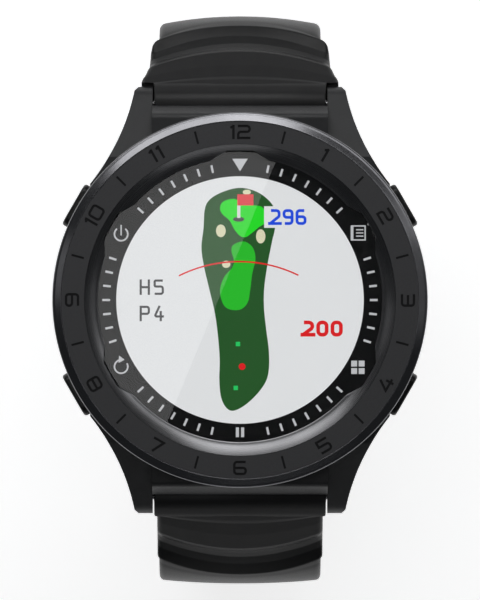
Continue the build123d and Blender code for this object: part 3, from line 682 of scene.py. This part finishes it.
def smooth_loop(points, steps=10):
    """Closed curve through points: each span is the cubic that matches its neighbours' directions."""
    here = np.array(points, float)
    back, ahead, far = np.roll(here, 1, axis=0), np.roll(here, -1, axis=0), np.roll(here, -2, axis=0)
    t = np.linspace(0, 1, steps, endpoint=False)[None, :, None]
    here, back, ahead, far = (value[:, None, :] for value in (here, back, ahead, far))
    curve = 0.5 * (2 * here + (ahead - back) * t + (2 * back - 5 * here + 4 * ahead - far) * t ** 2
                   + (3 * here - back - 3 * ahead + far) * t ** 3)
    return curve.reshape(-1, 2)


def ellipse(x, y, wide, tall, steps=40):
    turn = np.linspace(0, 2 * pi, steps, endpoint=False)
    return np.column_stack([x + wide / 2 * np.cos(turn), y + tall / 2 * np.sin(turn)])


def rectangle(x, y, wide, tall):
    return np.array([(x - wide / 2, y - tall / 2), (x + wide / 2, y - tall / 2),
                     (x + wide / 2, y + tall / 2), (x - wide / 2, y + tall / 2)])


def turned_by(outline, degrees):
    """An outline turned clockwise about the dial's middle."""
    c, s = cos(radians(-degrees)), sin(radians(-degrees))
    return outline @ np.array([[c, s], [-s, c]])


def ribbon(line, width):
    """Outline of a line of constant width."""
    line = np.array(line, float)
    direction = np.gradient(line, axis=0)
    direction /= np.linalg.norm(direction, axis=1)[:, None]
    side = np.column_stack([-direction[:, 1], direction[:, 0]]) * width / 2
    return np.concatenate([line + side, (line - side)[::-1]])


def arc(x, y, radius, first, last, steps=40):
    """Points on a circle from one clock angle to another, clockwise from 12."""
    turn = np.radians(90 - np.linspace(first, last, steps))
    return np.column_stack([x + radius * np.cos(turn), y + radius * np.sin(turn)])


def ink(name, colour, painted_glow):
    """Printed or displayed colour with a faint unevenness. The colour is given as glow, painted light that stands
    in for the studio light reaching it through the glass.
    """
    finish, tree, shader = start_finish(name, Roughness=0.6, Specular_IOR_Level=0.2, Emission_Strength=painted_glow)
    fine = noise(tree, object_point(tree), 0.13, 1.0)
    darker = tuple(value * 0.93 for value in colour[:3]) + (1.0,)
    mix = between(tree, spread_to(tree, fine, 0.0, 1.0), darker, colour)
    tree.links.new(mix.outputs["Result"], shader.inputs["Emission Color"])
    shader.inputs["Base Color"].default_value = tuple(value * 0.12 for value in colour[:3]) + (1.0,)
    return finish


def film(name, outlines, low, finish, thickness=0.006):
    mesh = film_mesh(name, outlines, low, thickness)
    return piece(name, mesh, finish, "case")


# %% Black ring, minute marks and signs
DISPLAY_RADIUS = 15.24
ring_low = lens_bottom + 0.005
ring_high = ring_low + 0.02
mark_low = ring_high
glass_low = lens_bottom + 0.04
black_ink = grained(
    "black_ink", srgb(13, 13, 14), srgb(17, 17, 18), (0.5, 0.6), 0.3, 0.0005, Specular_IOR_Level=0.2)
# The pale minute marks and signs glow: painted light on the print, in place of lamp light through the glass.
mark_ink_painted_glow = ink("mark_ink_painted_glow", srgb(196, 198, 201), 0.95)


def print_ring_mesh(steps=288):
    turn = np.linspace(0, 2 * pi, steps, endpoint=False)[:, None]
    radius = np.array([[DISPLAY_RADIUS, lens_radius - 0.05, lens_radius - 0.05, DISPLAY_RADIUS]])
    height = np.array([[ring_low, ring_low, ring_high, ring_high]])
    height = np.broadcast_to(height, (steps, 4))
    points = np.stack([radius * np.cos(turn), radius * np.sin(turn), height], axis=-1)
    return grid_mesh("print_ring", points, closed_rows=True)


piece("print_ring", print_ring_mesh(), black_ink, "case")
print("print ring under the glass")

# %% [markdown]
# The minute marks leave room at the twelve hours that carry a sign, so they are listed by the spans
# of the dial that have them. The signs are a power switch, a score card, a turning arrow, four
# squares, a pair of bars and, at 12 o'clock, a plain triangle.

# %% Marks and signs
MARK_SPANS = ((12, 48), (72, 108), (132, 168), (192, 228), (252, 288), (312, 348))
MARK_INNER, MARK_OUTER, MARK_WIDTH = 16.0, 16.95, 0.27

MINUTE = 6

upright_mark = rectangle(0, (MARK_INNER + MARK_OUTER) / 2, MARK_WIDTH, MARK_OUTER - MARK_INNER)
marks = [turned_by(upright_mark, degrees)
         for first, last in MARK_SPANS for degrees in range(first, last + 1, MINUTE)]
film("minute_marks", marks, mark_low, mark_ink_painted_glow)

power = [ribbon(arc(-14.64, 8.12, 0.82, 38, 322), 0.2), rectangle(-14.64, 8.6, 0.17, 1.3)]
arrow_tip = np.array([(-14.9, -6.85), (-14.2, -7.35), (-14.95, -7.75)])
again = [ribbon(arc(-14.64, -8.2, 0.82, 60, 345), 0.2), arrow_tip]
CARD_Y = 8.26
card = [rectangle(14.57, CARD_Y + 0.86, 1.84, 0.16), rectangle(14.57, CARD_Y - 0.86, 1.84, 0.16),
        rectangle(13.8, CARD_Y, 0.34, 1.6), rectangle(15.41, CARD_Y, 0.16, 1.6)]
card += [rectangle(14.75, y, 0.9, 0.15) for y in (8.65, CARD_Y, 7.87)]
squares = [rectangle(14.52 + dx, -8.29 + dy, 0.72, 0.72)
           for dx in (-0.46, 0.46) for dy in (-0.46, 0.46)]
bars = [rectangle(dx, -16.29, 0.38, 1.2) for dx in (-0.32, 0.32)]
triangle = [np.array([(-0.95, 17.4), (0.95, 17.4), (0.0, 15.85)])]
film("dial_signs", power + again + card + squares + bars + triangle, mark_low, mark_ink_painted_glow)
print(f"{len(marks)} minute marks")

# %% [markdown]
# The course map: rough, fairway, green, sand, the flag and the distance arc, from the bottom sheet up.
# Each outline goes through a few given points and is smoothed by cubics.

# %% Course map
SHEET = 0.007
map_low = panel_top


def level(number):
    return map_low + SHEET * number


# The map's colours glow: painted light in place of lamp light on the display, as on the panel under them.
MAP_PAINTED_GLOW = 0.92
MAP_COLOURS = {
    "rough_ink": (38, 88, 40), "fairway_ink": (42, 192, 44), "green_ink": (38, 226, 40),
    "sand_ink": (226, 224, 190), "flag_ink": (230, 70, 78), "red_ink": (226, 30, 34),
    "blue_ink": (28, 78, 230), "grey_ink": (74, 74, 76), "label_ink": (226, 226, 226), "spot_ink": (40, 205, 100),
}
painted_glow_inks = {name: ink(name, srgb(*colour), MAP_PAINTED_GLOW) for name, colour in MAP_COLOURS.items()}

rough = smooth_loop([
    (-0.3, 13.8), (-2.4, 13.2), (-3.8, 12.3), (-4.35, 11.1), (-4.5, 8.8), (-4.75, 6.5), (-4.45, 4.2),
    (-3.75, 1.2), (-3.1, -1.6), (-2.7, -4.6), (-2.5, -7.4), (-2.55, -9.8), (-2.35, -11.9), (-1.75, -13.2),
    (-0.9, -13.65),
    (0.4, -13.1), (1.9, -11.8), (3.1, -10.2), (3.55, -8.6), (3.55, -6.2), (3.2, -3.4), (2.95, -0.8), (3.0, 1.6),
    (3.4, 4.4), (3.95, 7.2), (4.35, 9.2), (4.15, 11.4), (3.0, 12.75), (1.5, 13.55)])
fairway = smooth_loop([
    (0.2, 7.2), (-0.85, 6.75), (-1.05, 6.0), (-0.75, 4.9), (-0.95, 4.0), (-1.9, 2.9), (-2.4, 1.6), (-2.4, 0.5),
    (-1.95, -0.7), (-1.1, -1.2), (0.1, -1.15), (0.95, -0.3), (1.25, 1.2), (1.5, 3.2), (1.9, 5.0),
    (1.65, 6.3), (1.0, 7.0)])
green = smooth_loop([
    (-1.3, 12.4), (-2.2, 12.0), (-2.45, 11.2), (-2.1, 10.5), (-1.3, 9.8), (-0.7, 8.7), (0.0, 7.9), (0.7, 7.75),
    (1.4, 8.2), (2.3, 8.95), (3.05, 9.5), (3.2, 10.6), (2.7, 11.45), (1.6, 11.7), (0.3, 12.0), (-0.5, 12.4)])
film("map_rough", [rough], level(0), painted_glow_inks["rough_ink"])
film("map_fairway", [fairway], level(1), painted_glow_inks["fairway_ink"])
film("map_green", [green], level(1), painted_glow_inks["green_ink"])
film("map_sand", [
    ellipse(-2.36, 8.52, 1.2, 1.56), ellipse(2.55, 7.84, 1.15, 1.74), ellipse(0.84, 13.28, 1.0, 0.62),
    ellipse(-1.7, 4.4, 1.02, 0.9)], level(2), painted_glow_inks["sand_ink"])
# The white label uses the panel's finish, so its glow is painted light too.
film("map_label", [rectangle(5.72, 10.22, 5.5, 2.66)], level(3), slot_finish["display_face"])
film("map_hole", [ellipse(-0.17, 9.94, 1.4, 0.6)], level(3), painted_glow_inks["grey_ink"])
film("map_pole", [rectangle(-0.15, 10.95, 0.4, 1.7)], level(4), painted_glow_inks["label_ink"])
film("map_flag", [rectangle(0.66, 12.33, 2.0, 1.38)], level(5), painted_glow_inks["flag_ink"])
film("map_arc", [ribbon(arc(-0.1, -11.9, 16.63, -26.5, 26.0), 0.19)], level(5), painted_glow_inks["red_ink"])
SPOT = 0.54
spots_at = ((-0.25, -5.42), (-0.52, -10.83))
film("map_spots", [rectangle(x, y, SPOT, SPOT) for x, y in spots_at], level(5), painted_glow_inks["spot_ink"])
film("map_player", [ellipse(0.26, -8.2, 0.84, 0.84)], level(5), painted_glow_inks["red_ink"])
print("course map in eleven sheets")

# %% [markdown]
# The distances are written with square, round-cornered figures, as small displays use them. A figure is
# a few strokes in a box from -1 to 1, and each stroke becomes a ribbon of constant width.

# %% Distances
FIGURES = {
    "0": [[(0, 1), (1, 1, 1), (1, -1, 1), (0, -1)], [(0, 1), (-1, 1, 1), (-1, -1, 1), (0, -1)]],
    "2": [[(-1, 1), (1, 1, 1), (1, 0.1, 1), (-1, -0.9)], [(-1.36, -1), (1.3, -1)]],
    "4": [[(0.1, 1), (-1, -0.45, 0.6), (1, -0.45)], [(0.5, 0.2), (0.5, -1)]],
    "5": [[(1, 1), (-1, 1, 0.6), (-1, 0.1, 0.6), (1, 0.1, 1), (1, -1, 1), (-1, -1)]],
    "6": [[(-1, 0.05), (1, 0.05, 1), (1, -1, 1), (-0.2, -1)], [(0, -1), (-1, -1, 1), (-1, 1, 1), (0.8, 1)]],
    "9": [[(1, -0.05), (-1, -0.05, 1), (-1, 1, 1), (0.2, 1)], [(0, 1), (1, 1, 1), (1, -1, 1), (-0.8, -1)]],
    "H": [[(-1, 1), (-1, -1)], [(1, 1), (1, -1)], [(-1, 0), (1, 0)]],
    "P": [[(-1, 1), (-1, -1)], [(-1, 1), (1, 1, 1), (1, -0.05, 1), (-1, -0.05)]],
}


def figures(text, x, y, tall, wide, gap, stroke):
    """Outlines of a text centred on (x, y): each figure is tall by wide, drawn with a stroke's width."""
    half = np.array([(wide - stroke) / 2, (tall - stroke) / 2])
    outlines = []
    for number, letter in enumerate(text):
        middle = np.array([x + (number - (len(text) - 1) / 2) * (wide + gap), y])
        for points in FIGURES[letter]:
            spots = []
            for point in points:
                wide_bend = len(point) > 2 and point[2] == 1
                spots.append(tuple(middle + half * np.array(point[:2])) + (stroke * (0.95 if wide_bend else 0.56),))
            line = rounded(spots, closed=False)
            if letter not in "02569" or len(points) == 2:
                first, last = line[0] - line[1], line[-1] - line[-2]
                grown = [line[:1] + stroke / 2 * first / np.linalg.norm(first), line,
                         line[-1:] + stroke / 2 * last / np.linalg.norm(last)]
                line = np.concatenate(grown)
            outlines.append(ribbon(line, stroke))
    return outlines


film("distance_to_green", figures("296", 5.92, 10.22, 1.95, 1.36, 0.24, 0.36), level(4), painted_glow_inks["blue_ink"])
film("distance_to_arc", figures("200", 10.15, -3.52, 1.97, 1.5, 0.26, 0.46), level(1), painted_glow_inks["red_ink"])
film("hole_number", figures("H5", -10.87, 1.58, 1.9, 1.27, 0.45, 0.27), level(1), painted_glow_inks["grey_ink"])
film("hole_par", figures("P4", -10.87, -1.66, 1.9, 1.27, 0.45, 0.27), level(1), painted_glow_inks["grey_ink"])
print("distances set")

# %% [markdown]
# ## Glass
# A flat disc with a small polished bevel. The display's painted glow passes through it, so it is real
# glass with a thickness, closed all round.

# %% Glass
glass_mesh = lathe("glass", [
    (0.001, glass_low), (lens_radius, glass_low), (lens_radius, lens_top - 0.15),
    (lens_radius - 0.15, lens_top), (0.001, lens_top)], steps=256)
piece("glass", glass_mesh, slot_finish["lens_glass"], "case", ["lens"])
print(f"glass {lens_top - glass_low:.2f} mm thick over its print")

# %% [markdown]
# ## Strap
# Each half of the strap is one moulding: a knuckle round the spring bar, a thick head with shoulders,
# a hollow and a ridge across it, then the band. A section is carried along the centre line. Every
# section has the same number of points, so the whole half is one grid of (station, point).

# %% Centre line of a strap half
STRAP_HEADING = -42.0
STRAP_STRAIGHT = 8.5
STRAP_BEND = 10.8
BUCKLE_CURVE = 25.0
BUCKLE_STRAIGHT = 10.0
BUCKLE_LENGTH = 75.0
BUCKLE_THICK = 3.0
TAIL_THICK = 2.4
TAIL_UPPER_CURVE = 110.0
TAIL_UPPER_TURN = 15.0
FOOT_FLAT = 0.05
TAIL_TIP = 29.0
BAND_HALF = 10.3
KNUCKLE_RADIUS = 2.3
KNUCKLE_HALF = 10.65

bar_low, bar_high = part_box("upper_spring_bar")
hinge_y = (bar_low[Y] + bar_high[Y]) / 2 / MM
hinge_z = (bar_low[Z] + bar_high[Z]) / 2 / MM


def centre_line(moves, distance):
    """Place and heading on a path of straights and bends, for an array of distances from the hinge.

    A bend of radius R has its centre on the wrist's side; a distance before the start goes back along
    the first straight.
    """
    y = np.full_like(distance, hinge_y)
    z = np.full_like(distance, hinge_z)
    heading = np.full_like(distance, radians(STRAP_HEADING))
    start, y0, z0, h0 = 0.0, hinge_y, hinge_z, radians(STRAP_HEADING)
    for amount, radius in moves:
        length = amount if radius is None else radians(amount) * radius
        here = distance >= start if start > 0 else distance > -1e9
        run = distance - start
        if radius is None:
            y_here, z_here = y0 + run * cos(h0), z0 + run * sin(h0)
            h_here = np.full_like(distance, h0)
            y0, z0 = y0 + length * cos(h0), z0 + length * sin(h0)
        else:
            cy, cz = y0 + radius * sin(h0), z0 - radius * cos(h0)
            h_here = h0 - run / radius
            y_here, z_here = cy - radius * np.sin(h_here), cz + radius * np.cos(h_here)
            h0 = h0 - radians(amount)
            y0, z0 = cy - radius * sin(h0), cz + radius * cos(h0)
        y, z = np.where(here, y_here, y), np.where(here, z_here, z)
        heading = np.where(here, h_here, heading)
        start += length
    return y, z, heading


def spot_on(moves, distance):
    """Place and heading at one distance along a centre line, as plain numbers."""
    return [float(value[0]) for value in centre_line(moves, np.array([distance]))]


first_turn = 90.0 + STRAP_HEADING
buckle_rest = BUCKLE_LENGTH - STRAP_STRAIGHT - STRAP_BEND * radians(first_turn) - BUCKLE_STRAIGHT
buckle_moves = [(STRAP_STRAIGHT, None), (first_turn, STRAP_BEND),
                (buckle_rest / BUCKLE_CURVE * 180 / pi, BUCKLE_CURVE), (BUCKLE_STRAIGHT, None)]

tail_middle = TAIL_THICK / 2 - FOOT_FLAT
tail_bend = STRAP_BEND + (BUCKLE_THICK - TAIL_THICK) / 2 / (1 - sin(radians(-STRAP_HEADING)))
tail_moves = [(STRAP_STRAIGHT, None), (first_turn, tail_bend)]
down_z = spot_on(tail_moves, STRAP_STRAIGHT + tail_bend * radians(first_turn))[1]
left = down_z - TAIL_UPPER_CURVE * sin(radians(TAIL_UPPER_TURN)) - tail_middle
last_turn = 90.0 - TAIL_UPPER_TURN
tail_curve = left / (1 - cos(radians(last_turn)))
tail_moves += [(TAIL_UPPER_TURN, TAIL_UPPER_CURVE), (last_turn, tail_curve)]
landed = sum(a if r is None else radians(a) * r for a, r in tail_moves)
landing_y = spot_on(tail_moves, landed)[0]
tail_moves.append((TAIL_TIP + landing_y, None))
tail_length = landed + TAIL_TIP + landing_y
print(f"tail half {tail_length:.1f} mm long, buckle half {BUCKLE_LENGTH:.0f} mm")

# %% [markdown]
# The section changes along the strap. Its half width goes from the shoulders in to the waist and on to
# the band; its outer height dips in the hollow, rises to the ridge and steps down to the crowned band.
# The hollow and the ridge bow towards the band at the middle of the strap. So the grid's rows bow too:
# a row whose height is read at r lies at the distance r - bow * (x / half)^2.

# %% Section of a strap half
SHOULDER_START = 2.65
BOW = 2.8


def half_width(distance, end):
    """Half width at a distance from the hinge, through a line of (distance, half width) points."""
    spots = np.array([2.3, 2.7, 3.1, 3.7, 4.9, 6.4, 7.7, 8.4, 8.8, 9.1, 9.5, 10.2, end])
    widths = np.array([12.25, 12.12, 11.9, 11.68, 11.32, 11.22, 11.12, 10.98, 10.8, 10.55, 10.3, 10.12, 10.1])
    return np.interp(distance, spots, widths)


def outer_height(distance, thickness):
    """Height of the outer face above the centre line, by distance along the middle of the strap."""
    flat = thickness / 2
    spots = np.array([0.9, 2.2, 2.5, 2.8, 4.5, 6.9, 7.25, 7.6, 8.1, 9.0, 10.0, 10.8, 11.2, 11.45, 11.62, 11.75,
                      11.9, 12.2, 14.0, 17.0])
    heights = np.array([2.28, 2.27, 2.21, 2.22, 2.24, 2.2, 2.1, 1.84, 1.6, 1.45, 1.62, 2.0, 2.2, 2.2, 2.0, 1.5,
                        flat - 0.3, flat - 0.22, flat - 0.06, flat])
    return np.interp(distance, spots, heights)


def inner_height(distance, thickness):
    """Height of the wrist face: a straight taper from the knuckle to the band."""
    return -np.interp(distance, [0.0, STRAP_STRAIGHT], [KNUCKLE_RADIUS - 0.03, thickness / 2])


print("strap sections ready")

# %% [markdown]
# The knuckle is a tube round the spring bar whose outline is a circle behind and runs into the head in
# front. The rear of the head is hollowed to a cylinder about the hinge, so that it clears the lug's
# round end as the strap swings.

# %% Knuckles and the rear of the head


def tube_rows(outline, bore, start, end, edge=0.25):
    """Grid of a tube along x: an (n, 2) outline of (along, height) outside and a round bore inside.

    The bore's points face the outline's: each lies on the circle in its partner's direction.
    """
    turn = np.arctan2(outline[:, 1], outline[:, 0])
    hole = bore * np.column_stack([np.cos(turn), np.sin(turn)])
    centre = outline.mean(axis=0)
    reach = np.linalg.norm(outline - centre, axis=1)[:, None]
    inset = centre + (outline - centre) * (1 - edge / reach)
    bend = inset * 0.3 + outline * 0.7
    columns = [(outline, start + edge), (outline, end - edge), (bend, end - edge * 0.3), (inset, end),
               (hole, end), (hole, start), (inset, start), (bend, start + edge * 0.3)]
    return np.stack([np.column_stack([np.full(len(line), x), line]) for line, x in columns], axis=1)


def knuckle_outline(radius, reach, nose):
    """Circle behind, then in to a nose in front that hides inside the strap."""
    back = np.linspace(pi / 2, 3 * pi / 2, 29)
    circle = radius * np.column_stack([np.cos(back), np.sin(back)])
    front = np.array([
        (reach * 0.5, -radius * 0.985), (reach, -radius * 0.93), (nose * 0.85, -radius * 0.6), (nose, 0.0),
        (nose * 0.85, radius * 0.6), (reach, radius * 0.98), (reach * 0.9, radius * 0.993),
        (reach * 0.5, radius * 0.998)])
    return np.concatenate([circle, front])


def stand(rows, y, z, heading):
    """Carry points given as (across, along, height) to a place and heading in the frame."""
    across, along, height = rows[..., 0], rows[..., 1], rows[..., 2]
    return np.stack([across, y + along * np.cos(heading) - height * np.sin(heading),
                     z + along * np.sin(heading) + height * np.cos(heading)], axis=-1)


def rear_rows(x, height, place):
    """Rows that close the head's rear, from its middle line out to its first section.

    Beside the lugs the rear follows a cylinder of radius 2.65 about the hinge; between them it is flat
    and hides in the knuckle.
    """
    rows = []
    for share in np.sin(np.linspace(0, pi / 2, 8)):
        h = height * share
        round_rear = np.sqrt(np.maximum(SHOULDER_START ** 2 - h ** 2, 0.0))
        s = np.where(np.abs(x) > KNUCKLE_HALF + 0.06, np.maximum(round_rear, place.min()), place.min())
        rows.append(stand(np.stack([x, s, h], axis=-1), hinge_y, hinge_z, radians(STRAP_HEADING)))
    return np.stack(rows)


def joined(name, meshes, sharp=32.0):
    """One mesh from several closed ones."""
    work = bmesh.new()
    for mesh in meshes:
        work.from_mesh(mesh)
    result = bpy.data.meshes.new(name)
    work.to_mesh(result)
    work.free()
    result.shade_smooth()
    result.set_sharp_from_angle(angle=radians(sharp))
    return result


def carved(mesh, cutter_mesh):
    """A mesh with another cut out of it."""
    body = bpy.data.objects.new("carving", mesh)
    cutter = bpy.data.objects.new("cutter", cutter_mesh)
    scene.collection.objects.link(body)
    scene.collection.objects.link(cutter)
    cut = body.modifiers.new("cut", "BOOLEAN")
    cut.operation = "DIFFERENCE"
    cut.solver = "MANIFOLD"
    cut.object = cutter
    bpy.context.view_layer.update()
    result = bpy.data.meshes.new_from_object(body.evaluated_get(bpy.context.evaluated_depsgraph_get()))
    bpy.data.objects.remove(body)
    bpy.data.objects.remove(cutter)
    return result


def half_turn(points):
    """Turn points half round the dial's axis: from the 12 o'clock side to the 6 o'clock side."""
    return points * np.array([-1.0, -1.0, 1.0])


# %% Buckle half of the strap


def strap_points(moves, length, thickness, crown, rounding, across=33, tip=False):
    """(stations, points, 3) grid of a strap half from the rear of its head to its end.

    Points go across the outer face, round the edge and back across the wrist face. Towards a round tip
    the half width follows a circle.
    """
    head = np.concatenate([[1.0, 1.3, 1.6, 1.9, 2.15, 2.4], np.arange(SHOULDER_START, 14.5, 0.09)])
    rest = np.arange(14.5, length - (BAND_HALF if tip else 0.4), 0.75)
    end = length - BAND_HALF * (1 - np.sin(np.linspace(0, pi / 2, 30))[:-1]) if tip else np.array([length])
    read_at = np.concatenate([head, rest, end])[:, None]
    bow = BOW * np.interp(read_at, [0.9, 2.5, 6.0, 12.5, 22.0], [0.0, 0.45, 1.0, 1.0, 0.0])
    half = half_width(read_at - bow, length)
    if tip:
        past = np.clip(read_at - (length - BAND_HALF), 0, BAND_HALF)
        half = np.minimum(half, np.sqrt(BAND_HALF ** 2 - past ** 2))
    u = np.sin(np.linspace(-pi / 2, pi / 2, across))
    knuckle_share = np.array([KNUCKLE_HALF, KNUCKLE_HALF + 0.12]) / 12.25
    u = np.unique(np.concatenate([u, knuckle_share, -knuckle_share]))[None, :]
    distance = read_at - bow * u ** 2
    crown_here = np.interp(read_at, [11.5, 13.5], [0.12, crown]) * (half / BAND_HALF) ** 2
    top = outer_height(read_at, thickness) - crown_here * u ** 2
    bottom = inner_height(distance, thickness)
    inset = np.clip((np.abs(u) * half - (half - rounding)) / rounding, 0, 1)
    edge = np.minimum(rounding, 0.45 * (top - bottom)) * (1 - np.sqrt(1 - inset ** 2))
    top, bottom = top - edge, bottom + edge
    x = np.broadcast_to(u * half, top.shape)
    ring_x = np.concatenate([x, x[:, ::-1]], axis=1)
    ring_h = np.concatenate([top, bottom[:, ::-1]], axis=1)
    distance = np.concatenate([distance, distance[:, ::-1]], axis=1)
    clear = np.sqrt(np.maximum(SHOULDER_START ** 2 - ring_h ** 2, 0.0))
    place = np.where(np.abs(ring_x) > KNUCKLE_HALF + 0.06, np.maximum(distance, clear), distance)
    y, z, heading = centre_line(moves, place)
    points = np.stack([ring_x, y - ring_h * np.sin(heading), z + ring_h * np.cos(heading)], axis=-1)
    return np.concatenate([rear_rows(ring_x[0], ring_h[0], place[0]), points[1:]])


BAND_ROUND = 0.7
BAR_BORE = 0.83
PIN_BORE = 0.77
END_KNUCKLE = 2.1
END_HALF = 10.2
SLOT_HALF = 1.7
SLOT_BACK = 4.2

pin_y, pin_z, pin_heading = spot_on(buckle_moves, BUCKLE_LENGTH)
buckle_grid = strap_points(buckle_moves, BUCKLE_LENGTH - 1.2, BUCKLE_THICK, 1.05, BAND_ROUND)
head_rows = tube_rows(knuckle_outline(KNUCKLE_RADIUS, 1.3, 2.0), BAR_BORE, -KNUCKLE_HALF, KNUCKLE_HALF)
head_tube = stand(head_rows, hinge_y, hinge_z, radians(STRAP_HEADING))
band_part = grid_mesh("band", buckle_grid, caps="last", sharp=30.0)
slot_outline = rounded([(-SLOT_BACK, -5), (5, -5), (5, 5), (-SLOT_BACK, 5)])
slot = np.stack([np.column_stack([np.full(4, x), slot_outline]) for x in (-SLOT_HALF, SLOT_HALF)])
slot_mesh = grid_mesh("slot", stand(slot, pin_y, pin_z, pin_heading), caps="both")
band_part = carved(band_part, slot_mesh)
ends = []
flip = np.array([1.0, -1.0, 1.0])
for start, end in ((-END_HALF, -SLOT_HALF), (SLOT_HALF, END_HALF)):
    tube = tube_rows(knuckle_outline(END_KNUCKLE, 0.8, 2.6), PIN_BORE, start, end, 0.2) * flip
    ends.append(grid_mesh("end", stand(tube, pin_y, pin_z, pin_heading), closed_rows=True))
head_part = grid_mesh("head", head_tube, closed_rows=True)
buckle_mesh = joined("strap_with_buckle", [band_part, head_part] + ends)
piece("strap_with_buckle", buckle_mesh,
      slot_finish["strap_rubber"], "strap_buckle", ["strap_buckle_side"])
print(f"pin at y {pin_y:.2f}, z {pin_z:.2f}; {len(buckle_mesh.polygons)} faces")

# %% [markdown]
# The tail half is longer, thinner and round at its tip, with a row of holes. It hangs at 6 o'clock, so
# its points are turned half round the dial.

# %% Tail half of the strap
HOLE_RADIUS = 1.35
HOLE_FIRST = 14.0
HOLE_PITCH = 6.0
HOLE_COUNT = 8


def hole_cutters():
    """Eight round rods across the tail, at the holes' places along the centre line."""
    places = tail_length - HOLE_FIRST - HOLE_PITCH * np.arange(HOLE_COUNT)
    y, z, heading = centre_line(tail_moves, places)
    turn = np.linspace(0, 2 * pi, 40, endpoint=False)
    meshes = []
    for number in range(HOLE_COUNT):
        across, along = HOLE_RADIUS * np.cos(turn), HOLE_RADIUS * np.sin(turn)
        circle = np.stack([np.column_stack([across, along, np.full(len(turn), h)]) for h in (-4.0, 4.0)])
        spots = half_turn(stand(circle, y[number], z[number], heading[number]))
        meshes.append(grid_mesh("hole", spots, caps="both"))
    return joined("holes", meshes)


tail_grid = strap_points(tail_moves, tail_length, TAIL_THICK, 0.5, 0.6, tip=True)
tail_grid[..., 2] = np.maximum(tail_grid[..., 2], 0.0)
tail_part = carved(grid_mesh("tail", half_turn(tail_grid), caps="last", sharp=30.0), hole_cutters())
tail_mesh = joined("strap_tail", [tail_part, grid_mesh("head", half_turn(head_tube), closed_rows=True)])
piece("strap_tail_piece", tail_mesh,
      slot_finish["strap_rubber"], "strap_tail", ["strap_tail_side"])
print(f"{len(tail_mesh.polygons)} faces in the tail")

# %% [markdown]
# ## Keepers
# Two rubber loops. A loop is a rounded frame: its inner and outer outlines have matching points, and a
# softly rounded section runs from one to the other all the way round.

# %% Keepers
KEEPER_WALL, KEEPER_WIDTH, KEEPER_GAP, KEEPER_ROOM = 1.2, 5.0, 0.35, 3.0
FIXED_BACK, FREE_ANGLE = 9.0, 26.0


def box_outline(half, low, high, radius):
    return rounded([(half, low, radius), (half, high, radius), (-half, high, radius), (-half, low, radius)])


def keeper_rows():
    """Grid of a loop: for each point round it, a rounded section between inner and outer outline."""
    inner_half = BAND_HALF + KEEPER_GAP
    low, high = -BUCKLE_THICK / 2 - KEEPER_GAP, BUCKLE_THICK / 2 + KEEPER_ROOM
    outer = box_outline(inner_half + KEEPER_WALL, low - KEEPER_WALL, high + KEEPER_WALL, 1.6)
    inner = box_outline(inner_half, low, high, 0.5)
    half = KEEPER_WIDTH / 2
    section = rounded([(0, -half, 0.3), (1, -half, 0.38), (1, half, 0.38), (0, half, 0.3)])
    share, along = section[:, 0], section[:, 1]
    spots = inner[:, None, :] + (outer - inner)[:, None, :] * share[None, :, None]
    return np.stack([spots[..., 0], np.broadcast_to(along, spots.shape[:2]), spots[..., 1]], axis=-1)


loop = keeper_rows()
fixed_y, fixed_z, fixed_heading = spot_on(buckle_moves, BUCKLE_LENGTH - FIXED_BACK)
free_place = BUCKLE_LENGTH - BUCKLE_STRAIGHT - radians(FREE_ANGLE) * BUCKLE_CURVE
free_y, free_z, free_heading = spot_on(buckle_moves, free_place)
fixed_mesh = grid_mesh("fixed_loop", stand(loop, fixed_y, fixed_z, fixed_heading), closed_rows=True)
free_mesh = grid_mesh("free_loop", stand(loop, free_y, free_z, free_heading), closed_rows=True)
piece("fixed_loop", fixed_mesh, slot_finish["strap_rubber"], "strap_buckle", ["fixed_keeper"])
piece("free_loop", free_mesh, slot_finish["strap_rubber"], "keeper", ["free_keeper"])
print(f"fixed loop at z {fixed_z:.1f}, free loop at z {free_z:.1f}")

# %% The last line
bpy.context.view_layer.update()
